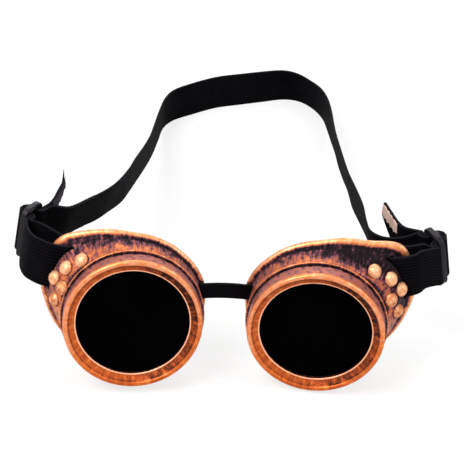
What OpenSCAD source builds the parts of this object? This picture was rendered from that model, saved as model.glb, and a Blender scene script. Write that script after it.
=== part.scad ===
// Round-lens riding goggles with two screw-front eyecups, a nose strip and an elastic head strap.
// Millimetres, +Z up. The goggles lie on their lower edge with the lenses facing -Y.
// right_ and left_ are the wearer's sides: right is at -X and left is at +X.

/* [Lens and ring] */
// Radius of the clear opening in each ring
opening_r = 23; // [20:0.1:23.5]
// How far the lens discs stand out past the opening, under the ring's lip
lens_edge = 2; // [1.6:0.1:2.4]
// Thickness of the dark lens
dark_lens_t = 2; // [1.2:0.1:2.2]
// Thickness of the clear inner lens
clear_lens_t = 1.5; // [1:0.1:1.8]
// Thickness of the rubber gasket in front of the lenses
gasket_t = 0.8; // [0.5:0.1:1]
// Radial clearance of the lenses in their seat
lens_clear = 0.2; // [0.1:0.05:0.4]
// Wall of the threaded neck around the lenses
neck_wall = 1.4; // [1.2:0.1:1.8]
// Gap between the neck and the bore of the ring
ring_gap = 0.7; // [0.65:0.05:0.75]
// Wall of the ring around the thread
ring_wall = 1; // [0.8:0.1:1.6]
// Height of the thread on the neck and in the ring
thread_h = 0.5; // [0.4:0.05:0.55]
// Pitch of the thread
thread_pitch = 3; // [2.8:0.1:3.4]
// Width of the bead around the front of the ring
bead_w = 2.3; // [1.8:0.1:2.8]
// How far the front of the ring stands before the opening's edge
bevel_depth = 2.2; // [1:0.1:3]
// Thickness of the lip that holds the lenses in
lip_t = 1.2; // [0.8:0.1:1.6]

/* [Eyecup] */
// Width of the shoulder left showing around the ring
shoulder_w = 1.2; // [0.6:0.1:2]
// Thickness of the shoulder
shoulder_t = 1; // [0.8:0.1:1.4]
// Gap between the ring and the shoulder
shoulder_gap = 0.3; // [0.2:0.05:0.6]
// Wall of the cup behind the shoulder
cup_wall = 1.8; // [1.4:0.1:2.2]
// Radius of the rolled rim that meets the face
rim_r = 1.3; // [1.1:0.05:1.6]
// Distance from the opening back to the rim at the top and bottom
cup_depth = 20.5; // [18:0.1:24]
// How much deeper the rim is at the temple and shallower at the nose
rim_sweep = 2; // [0:0.1:3.5]
// How far the temple corner of the right rim stands out past the shoulder
right_reach = 12.2; // [10:0.1:14]
// How far the temple corner of the left rim stands out past the shoulder
left_reach = 14.8; // [12:0.1:15.4]
// Radius of the round studs on the temple wall
stud_r = 3.2; // [2.4:0.1:3.8]
// Height of the strap slot's clearance at each end
slot_clear = 0.9; // [0.5:0.1:1.2]
// Width of the strap slot
slot_w = 3.4; // [3.2:0.1:3.8]
// Lean of the webbing's upper edge toward the front in its slot, degrees
slot_tip = 3; // [2:0.5:5]
// How much fuller the wall bulges at the temple than around the rest of the cup
temple_bulge = 0.85; // [0.5:0.05:0.95]

/* [Pose on the table] */
// Half the distance between the lens centres
half_pd = 37.25; // [34:0.25:42]
// Right cup turned toward the nose, degrees
right_yaw = 2.4; // [0:0.1:10]
// Left cup turned toward the nose, degrees
left_yaw = 8.2; // [0:0.1:10]
// Right cup tipped up, degrees
right_pitch = 6.9; // [5:0.1:9]
// Right cup turned about its lens axis, degrees
right_roll = -1; // [-4:0.5:4]
// Left cup turned about its lens axis, degrees
left_roll = 1; // [-4:0.5:4]

/* [Nose strip] */
// Height of the strip
strip_h = 7; // [6:0.1:8]
// Thickness of the strip
strip_t = 1.6; // [1.2:0.1:1.8]
// How far the middle of the strip is arched up
strip_arch = 0.8; // [0:0.1:2]
// Radius of the stop bead on each end of the strip
strip_bead_r = 2.5; // [2.3:0.1:2.8]
// Gap between each stop bead and the wall of its cup
bead_gap = 0.5; // [0.3:0.05:0.8]
// Height of the strip above the lens axis
strip_up = 7; // [2:0.25:8]
// Depth of the strip behind the opening
strip_back = 14.6; // [13.6:0.1:15.4]
// Width of the nose slot
nose_slot_w = 4.6; // [4:0.1:4.7]
// Clearance above and below the strip in its slot
nose_slot_clear = 0.5; // [0.3:0.05:0.8]

/* [Strap] */
// Width of the elastic webbing
strap_w = 19.5; // [16:0.5:21]
// Thickness of the elastic webbing
strap_t = 1.2; // [0.8:0.1:1.3]
// Length of each tail's free stretch behind its buckle
tail_len = 30; // [22:1:36]
// Height of the edging strip along each tail
edging_h = 6; // [4:0.5:9]
// Thickness of the edging strip
edging_t = 0.4; // [0.3:0.05:0.6]
// Length of one scallop of the edging strip
scallop = 4; // [3:0.25:6]

/* [Buckles] */
// Height of the buckle past the webbing at each end
buckle_rim = 2; // [1.8:0.1:3.4]
// Width of the buckle's outer bars
buckle_bar_w = 2.2; // [1.8:0.1:3.4]
// Thickness of the buckle
buckle_t = 2.4; // [2:0.1:3.2]
// Radius of the buckle's middle bar
buckle_mid_r = 1.25; // [1:0.05:1.4]
// Gap between the webbing and the bars it turns round
turn_gap = 0.3; // [0.2:0.05:0.4]
// How far the right buckle lies out from the lens axis
right_buckle_out = 46.2; // [44:0.1:50]
// How far the right buckle lies behind the opening
right_buckle_back = 54; // [48:0.5:56]
// How far the left buckle lies out from the lens axis
left_buckle_out = 50.6; // [47:0.1:52]
// How far the left buckle lies behind the opening
left_buckle_back = 36.5; // [35:0.5:42]
// Turn of the buckles' faces toward the back, degrees
buckle_turn = 30; // [20:1:40]
// Lean of the right buckle's upper end toward the nose, degrees
right_buckle_lean = 9; // [2:1:13]
// Lean of the left buckle's upper end toward the nose, degrees
left_buckle_lean = 10; // [6:1:15]
// How far the right buckle hangs below the middle of its slot
right_buckle_drop = 2; // [0.5:0.25:3]
// How far the left buckle hangs below the middle of its slot
left_buckle_drop = 3; // [1:0.25:4]
// How far the middle bar stands out from the middle of the buckle's plate
bar_rise = 1.2; // [0:0.1:1.6]
// Lean of the webbing's upper edge toward the front at the buckles, degrees
strap_tip = 8; // [4:1:9]

/* [Hidden] */
$fn = 96;
RIGHT = -1;
LEFT = 1;

// Lens stack, measured back from the edge of the opening along the lens axis
lens_r = opening_r + lens_edge;
seat_gap = 0.1;
gasket_z = -lip_t - seat_gap;
dark_z = gasket_z - gasket_t;
clear_z = dark_z - dark_lens_t;
seat_z = clear_z - clear_lens_t;
seat_r = lens_r + lens_clear;
sight_r = opening_r - 0.2;

// Neck, thread and ring
neck_r = seat_r + neck_wall;
neck_z = gasket_z - 0.2;
ring_bore_r = neck_r + ring_gap;
ring_r = ring_bore_r + ring_wall;
ring_back = seat_z - 0.1;
shoulder_z = ring_back - shoulder_gap;
shoulder_back = shoulder_z - shoulder_t;
shoulder_r = ring_r + shoulder_w;
thread_w = 1.1;
thread_root = 0.4;

// Cup shell: how far the rim stands out past the shoulder, as a share of the cup's reach.
// One value every 15 degrees from the temple over the top, the nose and the bottom.
rim_shape = [0.52, 0.77, 0.90, 0.97, 0.64, 0.38, 0.20, 0.16, 0.15, 0.15, 0.17, 0.16,
    0.07, 0.04, 0.02, 0, 0, 0, 0, 0, 0.02, 0.08, 0.20, 0.34];
shape_step = 360 / len(rim_shape);
shell_front_r = shoulder_r - 0.9;
shell_steps = 6;
shell_sides = 48;
flare = 1.6;

// The left cup's temple corner is squarer: extra share from the temple up to 60 degrees
left_square = [0, 0, 0.04, 0.12, -0.03];
// The temple wall bulges around this angle, where the studs and the slot are
bulge_angle = 28;

// Smooth periodic value between the entries of rim_shape
function shape_at(side, i) =
    let (k = ((i % len(rim_shape)) + len(rim_shape)) % len(rim_shape))
    rim_shape[k] + (side == LEFT && k < len(left_square) ? left_square[k] : 0);
function spline(a, b, c, d, t) =
    b + 0.5 * t * (c - a + t * (2 * a - 5 * b + 4 * c - d + t * (3 * (b - c) + d - a)));
function reach_of(side) = side == RIGHT ? right_reach : left_reach;
function rim_out(side, a) =
    let (i = floor(a / shape_step), t = a / shape_step - i)
    shoulder_r + reach_of(side)
        * spline(shape_at(side, i - 1), shape_at(side, i), shape_at(side, i + 1), shape_at(side, i + 2), t);
function rim_back(a) = -(cup_depth + rim_sweep * cos(a));
function flare_at(a) = flare - temple_bulge * pow(max(0, cos(a - bulge_angle)), 4);
function wall_r(side, a, t) = shell_front_r + (rim_out(side, a) - rim_r - shell_front_r) * pow(t, flare_at(a));
function wall_z(a, t) = shoulder_back + 0.4 + (rim_back(a) + rim_r - shoulder_back - 0.4) * t;
function wall_point(side, a, t, inset = 0) =
    let (r = wall_r(side, a, t) - inset)
    [r * cos(a), r * sin(a), wall_z(a, t)];

// Strap slot: it runs in front of the rim between these two angles, leaning with the rim
slot_low = 12;
slot_high = 44;
slot_lean = 13;
slot_angle = (slot_low + slot_high) / 2;
function slot_out(side) =
    max([for (a = [slot_low : 4 : slot_high]) rim_out(side, a) * cos(a - slot_lean)]);
function slot_up(side) =
    (rim_out(side, slot_low) * sin(slot_low - slot_lean)
        + rim_out(side, slot_high) * sin(slot_high - slot_lean)) / 2;
bar_back = rim_back(slot_angle) + rim_r;
slot_rear = bar_back + rim_r + 0.2 + tan(slot_tip) * strap_w / 2;
slot_mid = slot_rear + slot_w / 2;
slot_inner = 8.6;
slot_reach = 9.8;
slot_h = strap_w + 2 * slot_clear;

// Frames: a cup point is [toward the temple, up, forward] from the middle of its opening
function turn_z(p, a) = [p[0] * cos(a) - p[1] * sin(a), p[0] * sin(a) + p[1] * cos(a), p[2]];
function turn_x(p, a) = [p[0], p[1] * cos(a) - p[2] * sin(a), p[1] * sin(a) + p[2] * cos(a)];
function pitch_of(side) = side == RIGHT ? right_pitch : 0;
function yaw_of(side) = side == RIGHT ? right_yaw : -left_yaw;
function roll_of(side) = side == RIGHT ? right_roll : left_roll;
rest_depth = cup_depth - rim_r;
function centre_of(side) = side == RIGHT
    ? [-half_pd, 0, shoulder_r * cos(right_pitch) + rest_depth * sin(right_pitch)]
    : [half_pd, 0, shoulder_r];
function cup_vector(side, p) =
    let (r = turn_z(p, roll_of(side)))
    turn_z(turn_x([side * r[0], -r[2], r[1]], -pitch_of(side)), yaw_of(side));
function cup_point(side, p) = centre_of(side) + cup_vector(side, p);
// A strap point is [out, back-to-front] in the plane square to the rim's temple edge, at height v
function strap_vector(q, v = 0) = turn_z([q[0], v, q[1]], slot_lean);
function strap_point(side, q, v = 0) = cup_point(side, strap_vector(q, slot_up(side) + v));
// A buckle vector is the same for a buckle that leans and tips on its own
function lean_of(side) = side == RIGHT ? right_buckle_lean : left_buckle_lean;
function drop_of(side) = side == RIGHT ? right_buckle_drop : left_buckle_drop;
function buckle_vector(side, q, v = 0) = turn_z(turn_x([q[0], v, q[1]], strap_tip), lean_of(side));
function buckle_point(side, q) =
    strap_point(side, buckle_mid(side), -drop_of(side)) + cup_vector(side, buckle_vector(side, q));
function buckle_up(side) = cup_vector(side, buckle_vector(side, [0, 0], 1));

// The model is shifted so that the origin is under the middle of its bounding box
middle_x = 3.45;
middle_y = 142.5;

module stand() {
    translate([-middle_x, -middle_y, 0]) children();
}

module in_cup(side, mirrored = true) {
    translate(centre_of(side)) rotate([-pitch_of(side), 0, yaw_of(side)]) rotate([90, 0, 0])
        mirror([mirrored && side == RIGHT ? 1 : 0, 0, 0])
            rotate([0, 0, mirrored ? roll_of(side) : 0]) children();
}

// Screw thread whose middle line climbs from z_from to z_to, standing from radius r_in to r_out
module screw_thread(r_in, r_out, tip_in, z_from, z_to, offset_z) {
    steps_turn = 36;
    n = max(3, round((z_to - z_from) / thread_pitch * steps_turn));
    root_half = thread_w / 2;
    tip_half = thread_w / 2 - 0.25;
    in_half = tip_in ? tip_half : root_half;
    out_half = tip_in ? root_half : tip_half;
    profile = [[r_in, -in_half], [r_out, -out_half], [r_out, out_half], [r_in, in_half]];
    function station(i) =
        let (z = z_from + (z_to - z_from) * i / n, a = 360 * (z - offset_z) / thread_pitch)
        [for (p = profile) [p[0] * cos(a), p[0] * sin(a), z + p[1]]];
    points = [for (i = [0 : n]) each station(i)];
    sides = [for (i = [0 : n - 1]) for (k = [0 : 3])
        let (a = i * 4 + k, b = i * 4 + (k + 1) % 4)
        each [[a, b, a + 4], [b, b + 4, a + 4]]];
    ends = [[0, 3, 2, 1], [n * 4, n * 4 + 1, n * 4 + 2, n * 4 + 3]];
    polyhedron(points, concat(sides, ends), convexity = 10);
}

// Cup wall and rolled rim as one closed skin
module cup_shell(side) {
    bead_steps = 6;
    function bead(a, k) =
        let (b = 180 * k / bead_steps, c = rim_out(side, a) - rim_r)
        [(c + rim_r * cos(b)) * cos(a), (c + rim_r * cos(b)) * sin(a), rim_back(a) + rim_r - rim_r * sin(b)];
    function ring_points(a) = concat(
        [for (i = [0 : shell_steps - 1]) wall_point(side, a, i / shell_steps)],
        [wall_point(side, a, 1) + rim_r * [0.5 * cos(a), 0.5 * sin(a), 0.85]],
        [for (k = [0 : bead_steps]) bead(a, k)],
        [for (i = [shell_steps - 1 : -1 : 0]) wall_point(side, a, i / shell_steps, cup_wall)]);
    rows = [for (s = [0 : shell_sides - 1]) ring_points(360 * s / shell_sides)];
    n = len(rows[0]);
    faces = [for (s = [0 : shell_sides - 1]) for (k = [0 : n - 1])
        let (t = (s + 1) % shell_sides, j = (k + 1) % n)
        each [[s * n + k, t * n + k, s * n + j], [t * n + k, t * n + j, s * n + j]]];
    polyhedron([for (r = rows) each r], faces, convexity = 10);
}

// Studs along the temple wall, three behind and two in front: [angle, share of the depth]
studs = [[49, 0.32], [36.5, 0.41], [24.5, 0.58], [23.5, 0.22], [10, 0.46]];

// How far the wall's outward normal is tipped forward, degrees
function wall_tip(side, a, t) = atan2(
    (rim_out(side, a) - rim_r - shell_front_r) * flare_at(a) * pow(t, flare_at(a) - 1),
    wall_z(a, 0) - wall_z(a, 1));

// Half-round stud whose flat side lies in the wall
module stud(side, a, t) {
    translate(wall_point(side, a, t, 1)) rotate([0, 0, a]) rotate([0, -wall_tip(side, a, t), 0])
        difference() {
            sphere(r = stud_r, $fn = 48);
            translate([-stud_r - 1, -stud_r - 1, -stud_r - 1])
                cube([stud_r + 1, 2 * stud_r + 2, 2 * stud_r + 2]);
        }
}

module eyecup(side) {
    difference() {
        union() {
            in_cup(side) {
                cup_shell(side);
                for (s = studs)
                    stud(side, s[0], s[1]);
            }
            in_cup(side, false) {
                rotate_extrude() polygon([[sight_r, shoulder_back], [shoulder_r, shoulder_back],
                    [shoulder_r, shoulder_z], [neck_r, shoulder_z], [neck_r, neck_z],
                    [seat_r, neck_z], [seat_r, seat_z], [sight_r, seat_z]]);
                screw_thread(neck_r - thread_root, neck_r + thread_h, false,
                    shoulder_z + thread_w / 2 + 0.05, neck_z - thread_w / 2, 0);
            }
        }
        in_cup(side) {
            // Slot for the webbing, just in front of the rim
            rotate([0, 0, slot_lean])
                translate([slot_out(side) - rim_r, slot_up(side), slot_mid])
                    rotate([slot_tip, 0, 0])
                        translate([-slot_reach, -slot_h / 2, -slot_w / 2])
                            cube([slot_reach + 8, slot_h, slot_w]);
            // Slot for the nose strip
            translate([-rim_out(side, 180) - 6, strip_up - strip_h / 2 - nose_slot_clear,
                -strip_back - nose_slot_w / 2])
                cube([16, strip_h + 2 * nose_slot_clear, nose_slot_w]);
        }
    }
}

module lens_ring(side) {
    in_cup(side, false) {
        edge = bead_w / 2;
        bead_z = bevel_depth - edge;
        rotate_extrude() polygon(concat(
            [[opening_r, 0], [ring_r - bead_w - 0.4, bead_z + 0.4]],
            [for (a = [150 : -15 : 0]) [ring_r - edge + edge * cos(a), bead_z + edge * sin(a)]],
            [[ring_r, ring_back], [ring_bore_r, ring_back], [ring_bore_r, -lip_t], [opening_r, -lip_t]]));
        screw_thread(ring_bore_r - thread_h, ring_bore_r + 0.2, true,
            ring_back + thread_w / 2 + 0.05, -lip_t - thread_w / 2 - 0.05, thread_pitch / 2);
    }
}

module lens_disc(side, front, thickness) {
    in_cup(side, false) translate([0, 0, front - thickness]) cylinder(r = lens_r, h = thickness);
}

module lens_gasket(side) {
    in_cup(side, false) rotate_extrude()
        polygon([[opening_r + 0.3, gasket_z - gasket_t], [lens_r, gasket_z - gasket_t],
            [lens_r, gasket_z], [opening_r + 0.3, gasket_z]]);
}

// Nose strip: a bowed band between the cups with a stop bead inside each nose slot
function nose_wall(side, inset, up) =
    let (r = wall_r(side, 180, 0.65) - inset) sqrt(r * r - up * up);
function nose_hole(side) =
    cup_point(side, [-nose_wall(side, cup_wall / 2, strip_up), strip_up, -strip_back]);
function nose_stop(side) =
    let (x = nose_wall(side, cup_wall, strip_up + strip_h / 2) - bead_gap - strip_bead_r)
    cup_point(side, [-x, strip_up, -strip_back]);

module nose_bridge() {
    ends = [nose_stop(RIGHT), nose_hole(RIGHT), nose_hole(LEFT), nose_stop(LEFT)];
    steps = 8;
    span = [for (i = [0 : steps]) let (t = i / steps)
        ends[1] + (ends[2] - ends[1]) * t + [0, 0, strip_arch * 4 * t * (1 - t)]];
    line = concat([ends[0]], span, [ends[3]]);
    ribbon([for (p = line) [p, [0, 0, 1]]], strip_h, strip_t);
    for (p = [ends[0], ends[3]])
        translate(p - [0, 0, strip_h / 2]) cylinder(r = strip_bead_r, h = strip_h, $fn = 48);
}

// Closed band through stations [point, up], square to its line, between two heights at each station
module strip(stations, lows, highs, offset, thick) {
    n = len(stations);
    function unit(v) = v / norm(v);
    function tangent(i) = stations[min(i + 1, n - 1)][0] - stations[max(i - 1, 0)][0];
    function section(i) =
        let (u = unit(stations[i][1]), s = unit(cross(tangent(i), u)), m = stations[i][0] + offset * s,
            t = s * thick / 2)
        [m + lows[i] * u - t, m + lows[i] * u + t, m + highs[i] * u + t, m + highs[i] * u - t];
    points = [for (i = [0 : n - 1]) each section(i)];
    sides = [for (i = [0 : n - 2]) for (k = [0 : 3])
        let (a = i * 4 + k, b = i * 4 + (k + 1) % 4)
        each [[a, b, a + 4], [b, b + 4, a + 4]]];
    ends = [[0, 3, 2, 1], [n * 4 - 4, n * 4 - 3, n * 4 - 2, n * 4 - 1]];
    polyhedron(points, concat(sides, ends), convexity = 10);
}

module ribbon(stations, width, thick) {
    strip(stations, [for (s = stations) -width / 2], [for (s = stations) width / 2], 0, thick);
}

// Buckle: its face looks outward, with a window for the webbing on each side of the middle bar
function buckle_mid(side) = side == RIGHT
    ? [right_buckle_out, -right_buckle_back]
    : [left_buckle_out, -left_buckle_back];
face_dir = [cos(buckle_turn), -sin(buckle_turn)];
front_dir = [sin(buckle_turn), cos(buckle_turn)];
layer_gap = 0.3;
inner_turn = buckle_mid_r + turn_gap + strap_t / 2;
outer_turn = inner_turn + strap_t + layer_gap;
window_l = outer_turn + strap_t / 2 + turn_gap;
window_h = strap_w + 1.2;
buckle_l = 2 * (window_l + buckle_bar_w);
buckle_h = window_h + 2 * buckle_rim;
corner_r = 3;
bar_end = 1.4;
tail_slant = 0.4;
edging_share = 0.62;
glue_t = 0.02;

module rounded_plate(l, h, r) {
    square([l - 2 * r, h], center = true);
    square([l, h - 2 * r], center = true);
    for (x = [-1, 1]) for (y = [-1, 1])
        translate([x * (l / 2 - r), y * (h / 2 - r)]) circle(r = r, $fn = 48);
}

module buckle(side) {
    q = buckle_mid(side);
    in_cup(side) translate(strap_vector(q, slot_up(side) - drop_of(side)))
        rotate([0, 0, lean_of(side)]) rotate([strap_tip, 0, 0]) rotate([0, 90 + buckle_turn, 0]) {
            translate([0, 0, -buckle_t / 2]) linear_extrude(buckle_t) difference() {
                rounded_plate(buckle_l, buckle_h, corner_r);
                square([2 * window_l, window_h], center = true);
            }
            translate([0, 0, bar_rise]) rotate([90, 0, 0])
                cylinder(r = buckle_mid_r, h = window_h + 2 * bar_end, center = true);
        }
}

// Webbing is drawn through stations: [middle point, direction of its upper edge].
// These go a quarter turn round the middle bar at radius r, in through the window in front or
// behind, and round the inner corner of the outer bar until the webbing is past the buckle.
function bar_line(r) =
    let (c = window_l - r, under = -buckle_t / 2)
    concat([for (a = [4, 10, 30, 50, 70, 90]) [r * sin(a), bar_rise + r * cos(a)]],
        [for (b = [0 : 30 : 90]) [window_l - c * cos(b), under - c * sin(b)]],
        [[window_l + buckle_bar_w + turn_gap, under - c]]);
function bar_stations(side, r, toward) = [for (p = bar_line(r))
    [buckle_point(side, toward * p[0] * front_dir + p[1] * face_dir), buckle_up(side)]];
function reversed(list) = [for (i = [len(list) - 1 : -1 : 0]) list[i]];

// Smooth line through a list of points, with a few steps between each pair
function smooth_line(p, steps) = concat(
    [for (i = [0 : len(p) - 2]) for (k = [0 : steps - 1])
        let (a = p[max(i - 1, 0)], b = p[i], c = p[i + 1], d = p[min(i + 2, len(p) - 1)], t = k / steps)
        spline(a, b, c, d, t)],
    [p[len(p) - 1]]);

function smooth_stations(s, steps) =
    let (p = smooth_line([for (q = s) q[0]], steps), u = smooth_line([for (q = s) q[1]], steps))
    [for (i = [0 : len(p) - 1]) [p[i], u[i]]];

// Webbing from the middle bar forward, in through the rim, out of the slot and back over the bar
function loop_route(side) =
    let (e = slot_out(side) - rim_r, w = slot_mid, inner = e - slot_inner)
    concat(
        side == RIGHT
            ? [[e + 3.6, bar_back - 16], [e - 2.4, bar_back - 10], [inner - 0.6, bar_back - 4]]
            : [[e + 6.4, bar_back - 5.6], [e + 1.2, bar_back - 5], [e - 4, bar_back - 5.2],
                [inner - 0.2, bar_back - 3.2]],
        [[inner, w - 2.6], [inner + 1.2, w - 0.5], [inner + 3.4, w], [e - 1, w], [e + 2.6, w - 1.2]],
        side == RIGHT
            ? [[e + 7.2, w - 5], [e + 9.6, w - 11.6], [e + 10.4, w - 19.6]]
            : [[e + 5.6, w - 4.2]]);

function loop_stations(side) =
    let (rest = cup_vector(side, turn_z(turn_x([0, 1, 0], slot_tip), slot_lean)), bar = buckle_up(side),
        r = loop_route(side),
        inner = bar_stations(side, inner_turn, 1), outer = reversed(bar_stations(side, outer_turn, 1)),
        n = len(r) - 1,
        middle = [for (i = [0 : n]) let (k = min(1, min(i, n - i) / 3))
            [strap_point(side, r[i]), bar + (rest - bar) * k]],
        laid = concat([inner[len(inner) - 1]], middle, [outer[0]]))
    concat([for (i = [0 : len(inner) - 2]) inner[i]], smooth_stations(laid, 4),
        [for (i = [1 : len(outer) - 1]) outer[i]]);

module strap_loop(side) {
    ribbon(loop_stations(side), strap_w, strap_t);
}

// Hand-laid routes of the tails' upper edges behind the buckles: [inward, back, up, lean in, lean back]
right_tail = [[1.8, 2.6, 0, 0.1, -0.14], [3.6, 8.2, -0.1, 0.05, -0.08], [4.9, 15.5, -0.1, 0.03, 0],
    [6.6, 23.5, 0, 0.02, 0]];
left_tail = [[2, 2.2, -0.8, 0.20, -0.10], [5.9, 5.6, -1.6, 0.14, -0.08], [8.1, 11.4, -2.1, 0.06, 0],
    [9.8, 19.7, -2.1, 0.02, 0], [11.4, 28.1, -2.1, 0, 0]];

function tail_stations(side, steps) =
    let (s = bar_stations(side, outer_turn, -1), p = s[len(s) - 1], top = p[0] + p[1] * strap_w / 2,
        k = tail_len / 30,
        free = [for (r = side == RIGHT ? right_tail : left_tail)
            let (u = [-side * r[3], r[4], 1], m = norm(u))
            [top + k * [-side * r[0], r[1], r[2]] - u / m * strap_w / 2, u / m]])
    concat([for (i = [0 : len(s) - 2]) s[i]], smooth_stations(concat([p], free), steps));

// Distance along a run of stations from its first one
function walked(s) =
    [for (i = 0, d = 0; i < len(s); i = i + 1, d = d + (i < len(s) ? norm(s[i][0] - s[i - 1][0]) : 0)) d];

// Lower edge of a tail at a distance from its end, for its slanting cut
function tail_end_of(side) = side == RIGHT ? 3 : 6.5;
function tail_low(side, back) = strap_w / 2 - min(strap_w, tail_end_of(side) + tail_slant * back);

// Tail: over the middle bar, through the rear window and back beside the strap, cut to a slant
module strap_tail(side) {
    s = tail_stations(side, 12);
    d = walked(s);
    total = d[len(d) - 1];
    strip(s, [for (x = d) tail_low(side, total - x)], [for (x = d) strap_w / 2], 0, strap_t);
}

// Edging strip along the top of each tail's inner face, scalloped along both edges
module strap_edging(side) {
    s = tail_stations(side, 12);
    d = walked(s);
    total = d[len(d) - 1];
    run = [for (i = [0 : len(s) - 1]) if (total - d[i] < edging_share * tail_len && i < len(s) - 1) i];
    wave = [for (i = run) abs(sin(180 * d[i] / scallop))];
    strip([for (i = run) s[i]],
        [for (k = [0 : len(run) - 1])
            max(strap_w / 2 - edging_h, tail_low(side, total - d[run[k]])) + 0.9 * wave[k]],
        [for (k = [0 : len(run) - 1]) strap_w / 2 - 0.1 - 0.5 * wave[k]],
        -side * ((strap_t + edging_t) / 2 + glue_t), edging_t);
}

// Head strap: hand-laid route of its middle line, [x, y, height of the lower edge, lean in x, lean in y]
strap_route = [[-73.2, 59.8, 33.6, 0.1, -0.2], [-68, 61, 33.6, 0.25, -0.28], [-61, 69, 33.8, 0.33, -0.28],
    [-53, 79, 33.1, 0.34, -0.2], [-48, 89, 32.1, 0.34, -0.12], [-43, 104, 29.5, 0.24, -0.06],
    [-40, 120, 26.4, 0.2, -0.04], [-36.5, 142, 21.2, 0.2, -0.04], [-33, 166, 15.5, 0.17, -0.03],
    [-30, 192, 9.8, 0.1, 0], [-27, 220, 4.7, 0.07, 0], [-24, 242.5, 1.4, 0.08, -0.03],
    [-18.5, 255.5, 0.4, 0.04, -0.03], [-8, 265.5, 0, 0, 0], [6, 275.5, 0, 0, 0], [20, 281, 0, 0, 0],
    [34, 286, 0, 0, -0.02], [46, 289.5, 0, -0.08, -0.1], [55, 286.5, 0, -0.18, -0.14],
    [62, 276.5, 0.2, -0.22, -0.08], [66.5, 263.5, 0.6, -0.16, 0], [68, 247.5, 1.6, -0.1, 0],
    [68, 228, 3.6, -0.12, 0], [67, 206, 7.8, -0.18, 0], [65.5, 182, 12.9, -0.2, 0],
    [64.5, 158, 18.1, -0.22, 0], [63.5, 132, 24.3, -0.26, 0], [62.5, 106, 29.5, -0.24, 0],
    [63.2, 84, 33.1, -0.25, 0], [64.2, 66, 34.8, -0.27, 0], [64, 51.5, 35, -0.27, -0.04],
    [64.8, 42.6, 35.2, -0.26, -0.08], [69.6, 37, 35.6, -0.24, -0.1], [76.8, 35.8, 36.4, -0.22, -0.1]];
function route_station(r) =
    let (u = [r[3], r[4], 1] / norm([r[3], r[4], 1]))
    [[r[0], r[1], r[2] + u[2] * strap_w / 2], u];
function above_table(s) =
    let (u = s[1] / norm(s[1]), low = u[2] * strap_w / 2 + sqrt(1 - u[2] * u[2]) * strap_t / 2)
    [[s[0][0], s[0][1], max(s[0][2], low)], u];

module head_strap() {
    right = bar_stations(RIGHT, inner_turn, -1);
    left = reversed(bar_stations(LEFT, inner_turn, -1));
    laid = concat([right[len(right) - 1]], [for (r = strap_route) route_station(r)], [left[0]]);
    ribbon(concat([for (i = [0 : len(right) - 2]) right[i]],
        [for (s = smooth_stations(laid, 3)) above_table(s)],
        [for (i = [1 : len(left) - 1]) left[i]]), strap_w, strap_t);
}

module copper() { color([0.80, 0.45, 0.27]) children(); }
module black_rubber() { color([0.08, 0.08, 0.09]) children(); }
module black_webbing() { color([0.06, 0.06, 0.07]) children(); }
module black_plastic() { color([0.14, 0.13, 0.15]) children(); }
module dark_glass() { color([0.02, 0.02, 0.02]) children(); }
module clear_glass() { color([0.85, 0.90, 0.92]) children(); }
module tan_tape() { color([0.72, 0.58, 0.53]) children(); }

stand() {
    copper() eyecup(RIGHT);  // right_eyecup
    copper() eyecup(LEFT);  // left_eyecup
    copper() lens_ring(RIGHT);  // right_lens_ring
    copper() lens_ring(LEFT);  // left_lens_ring
    dark_glass() lens_disc(RIGHT, dark_z, dark_lens_t);  // right_dark_lens
    dark_glass() lens_disc(LEFT, dark_z, dark_lens_t);  // left_dark_lens
    clear_glass() lens_disc(RIGHT, clear_z, clear_lens_t);  // right_clear_lens
    clear_glass() lens_disc(LEFT, clear_z, clear_lens_t);  // left_clear_lens
    black_rubber() lens_gasket(RIGHT);  // right_lens_gasket
    black_rubber() lens_gasket(LEFT);  // left_lens_gasket
    black_rubber() nose_bridge();
    black_webbing() head_strap();
    black_webbing() strap_loop(RIGHT);  // right_strap_loop
    black_webbing() strap_loop(LEFT);  // left_strap_loop
    black_plastic() buckle(RIGHT);  // right_buckle
    black_plastic() buckle(LEFT);  // left_buckle
    black_webbing() strap_tail(RIGHT);  // right_strap_tail
    black_webbing() strap_tail(LEFT);  // left_strap_tail
    tan_tape() strap_edging(RIGHT);  // right_strap_edging
    tan_tape() strap_edging(LEFT);  // left_strap_edging
}
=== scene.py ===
# Round-lens riding goggles: antiqued copper cups with black lenses on a black elastic head strap.
import math
import bpy
from mathutils import Matrix, Vector


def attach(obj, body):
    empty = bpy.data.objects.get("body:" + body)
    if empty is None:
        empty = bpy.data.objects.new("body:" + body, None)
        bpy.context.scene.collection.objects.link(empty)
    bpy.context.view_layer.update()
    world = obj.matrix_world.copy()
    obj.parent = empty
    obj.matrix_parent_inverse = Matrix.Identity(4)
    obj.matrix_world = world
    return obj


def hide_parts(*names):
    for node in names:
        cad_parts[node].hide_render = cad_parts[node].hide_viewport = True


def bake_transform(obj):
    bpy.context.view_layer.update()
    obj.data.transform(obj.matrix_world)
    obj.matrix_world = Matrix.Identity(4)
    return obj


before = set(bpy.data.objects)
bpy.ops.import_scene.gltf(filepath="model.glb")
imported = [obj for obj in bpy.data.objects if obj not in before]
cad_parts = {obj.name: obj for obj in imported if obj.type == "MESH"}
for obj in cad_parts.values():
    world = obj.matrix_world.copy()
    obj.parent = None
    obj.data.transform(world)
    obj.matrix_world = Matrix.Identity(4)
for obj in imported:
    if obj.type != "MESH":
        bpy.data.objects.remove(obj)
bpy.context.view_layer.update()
bpy.ops.object.select_all(action="DESELECT")
mm = 0.001
sides = {"right": -1, "left": 1}  # the wearer's sides; right is at -X
print("frame loaded:", len(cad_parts), "CAD nodes")


def cosDeg(a):
    return math.cos(math.radians(a))


def sinDeg(a):
    return math.sin(math.radians(a))


def polar(r, a):
    return r * cosDeg(a), r * sinDeg(a)


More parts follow.
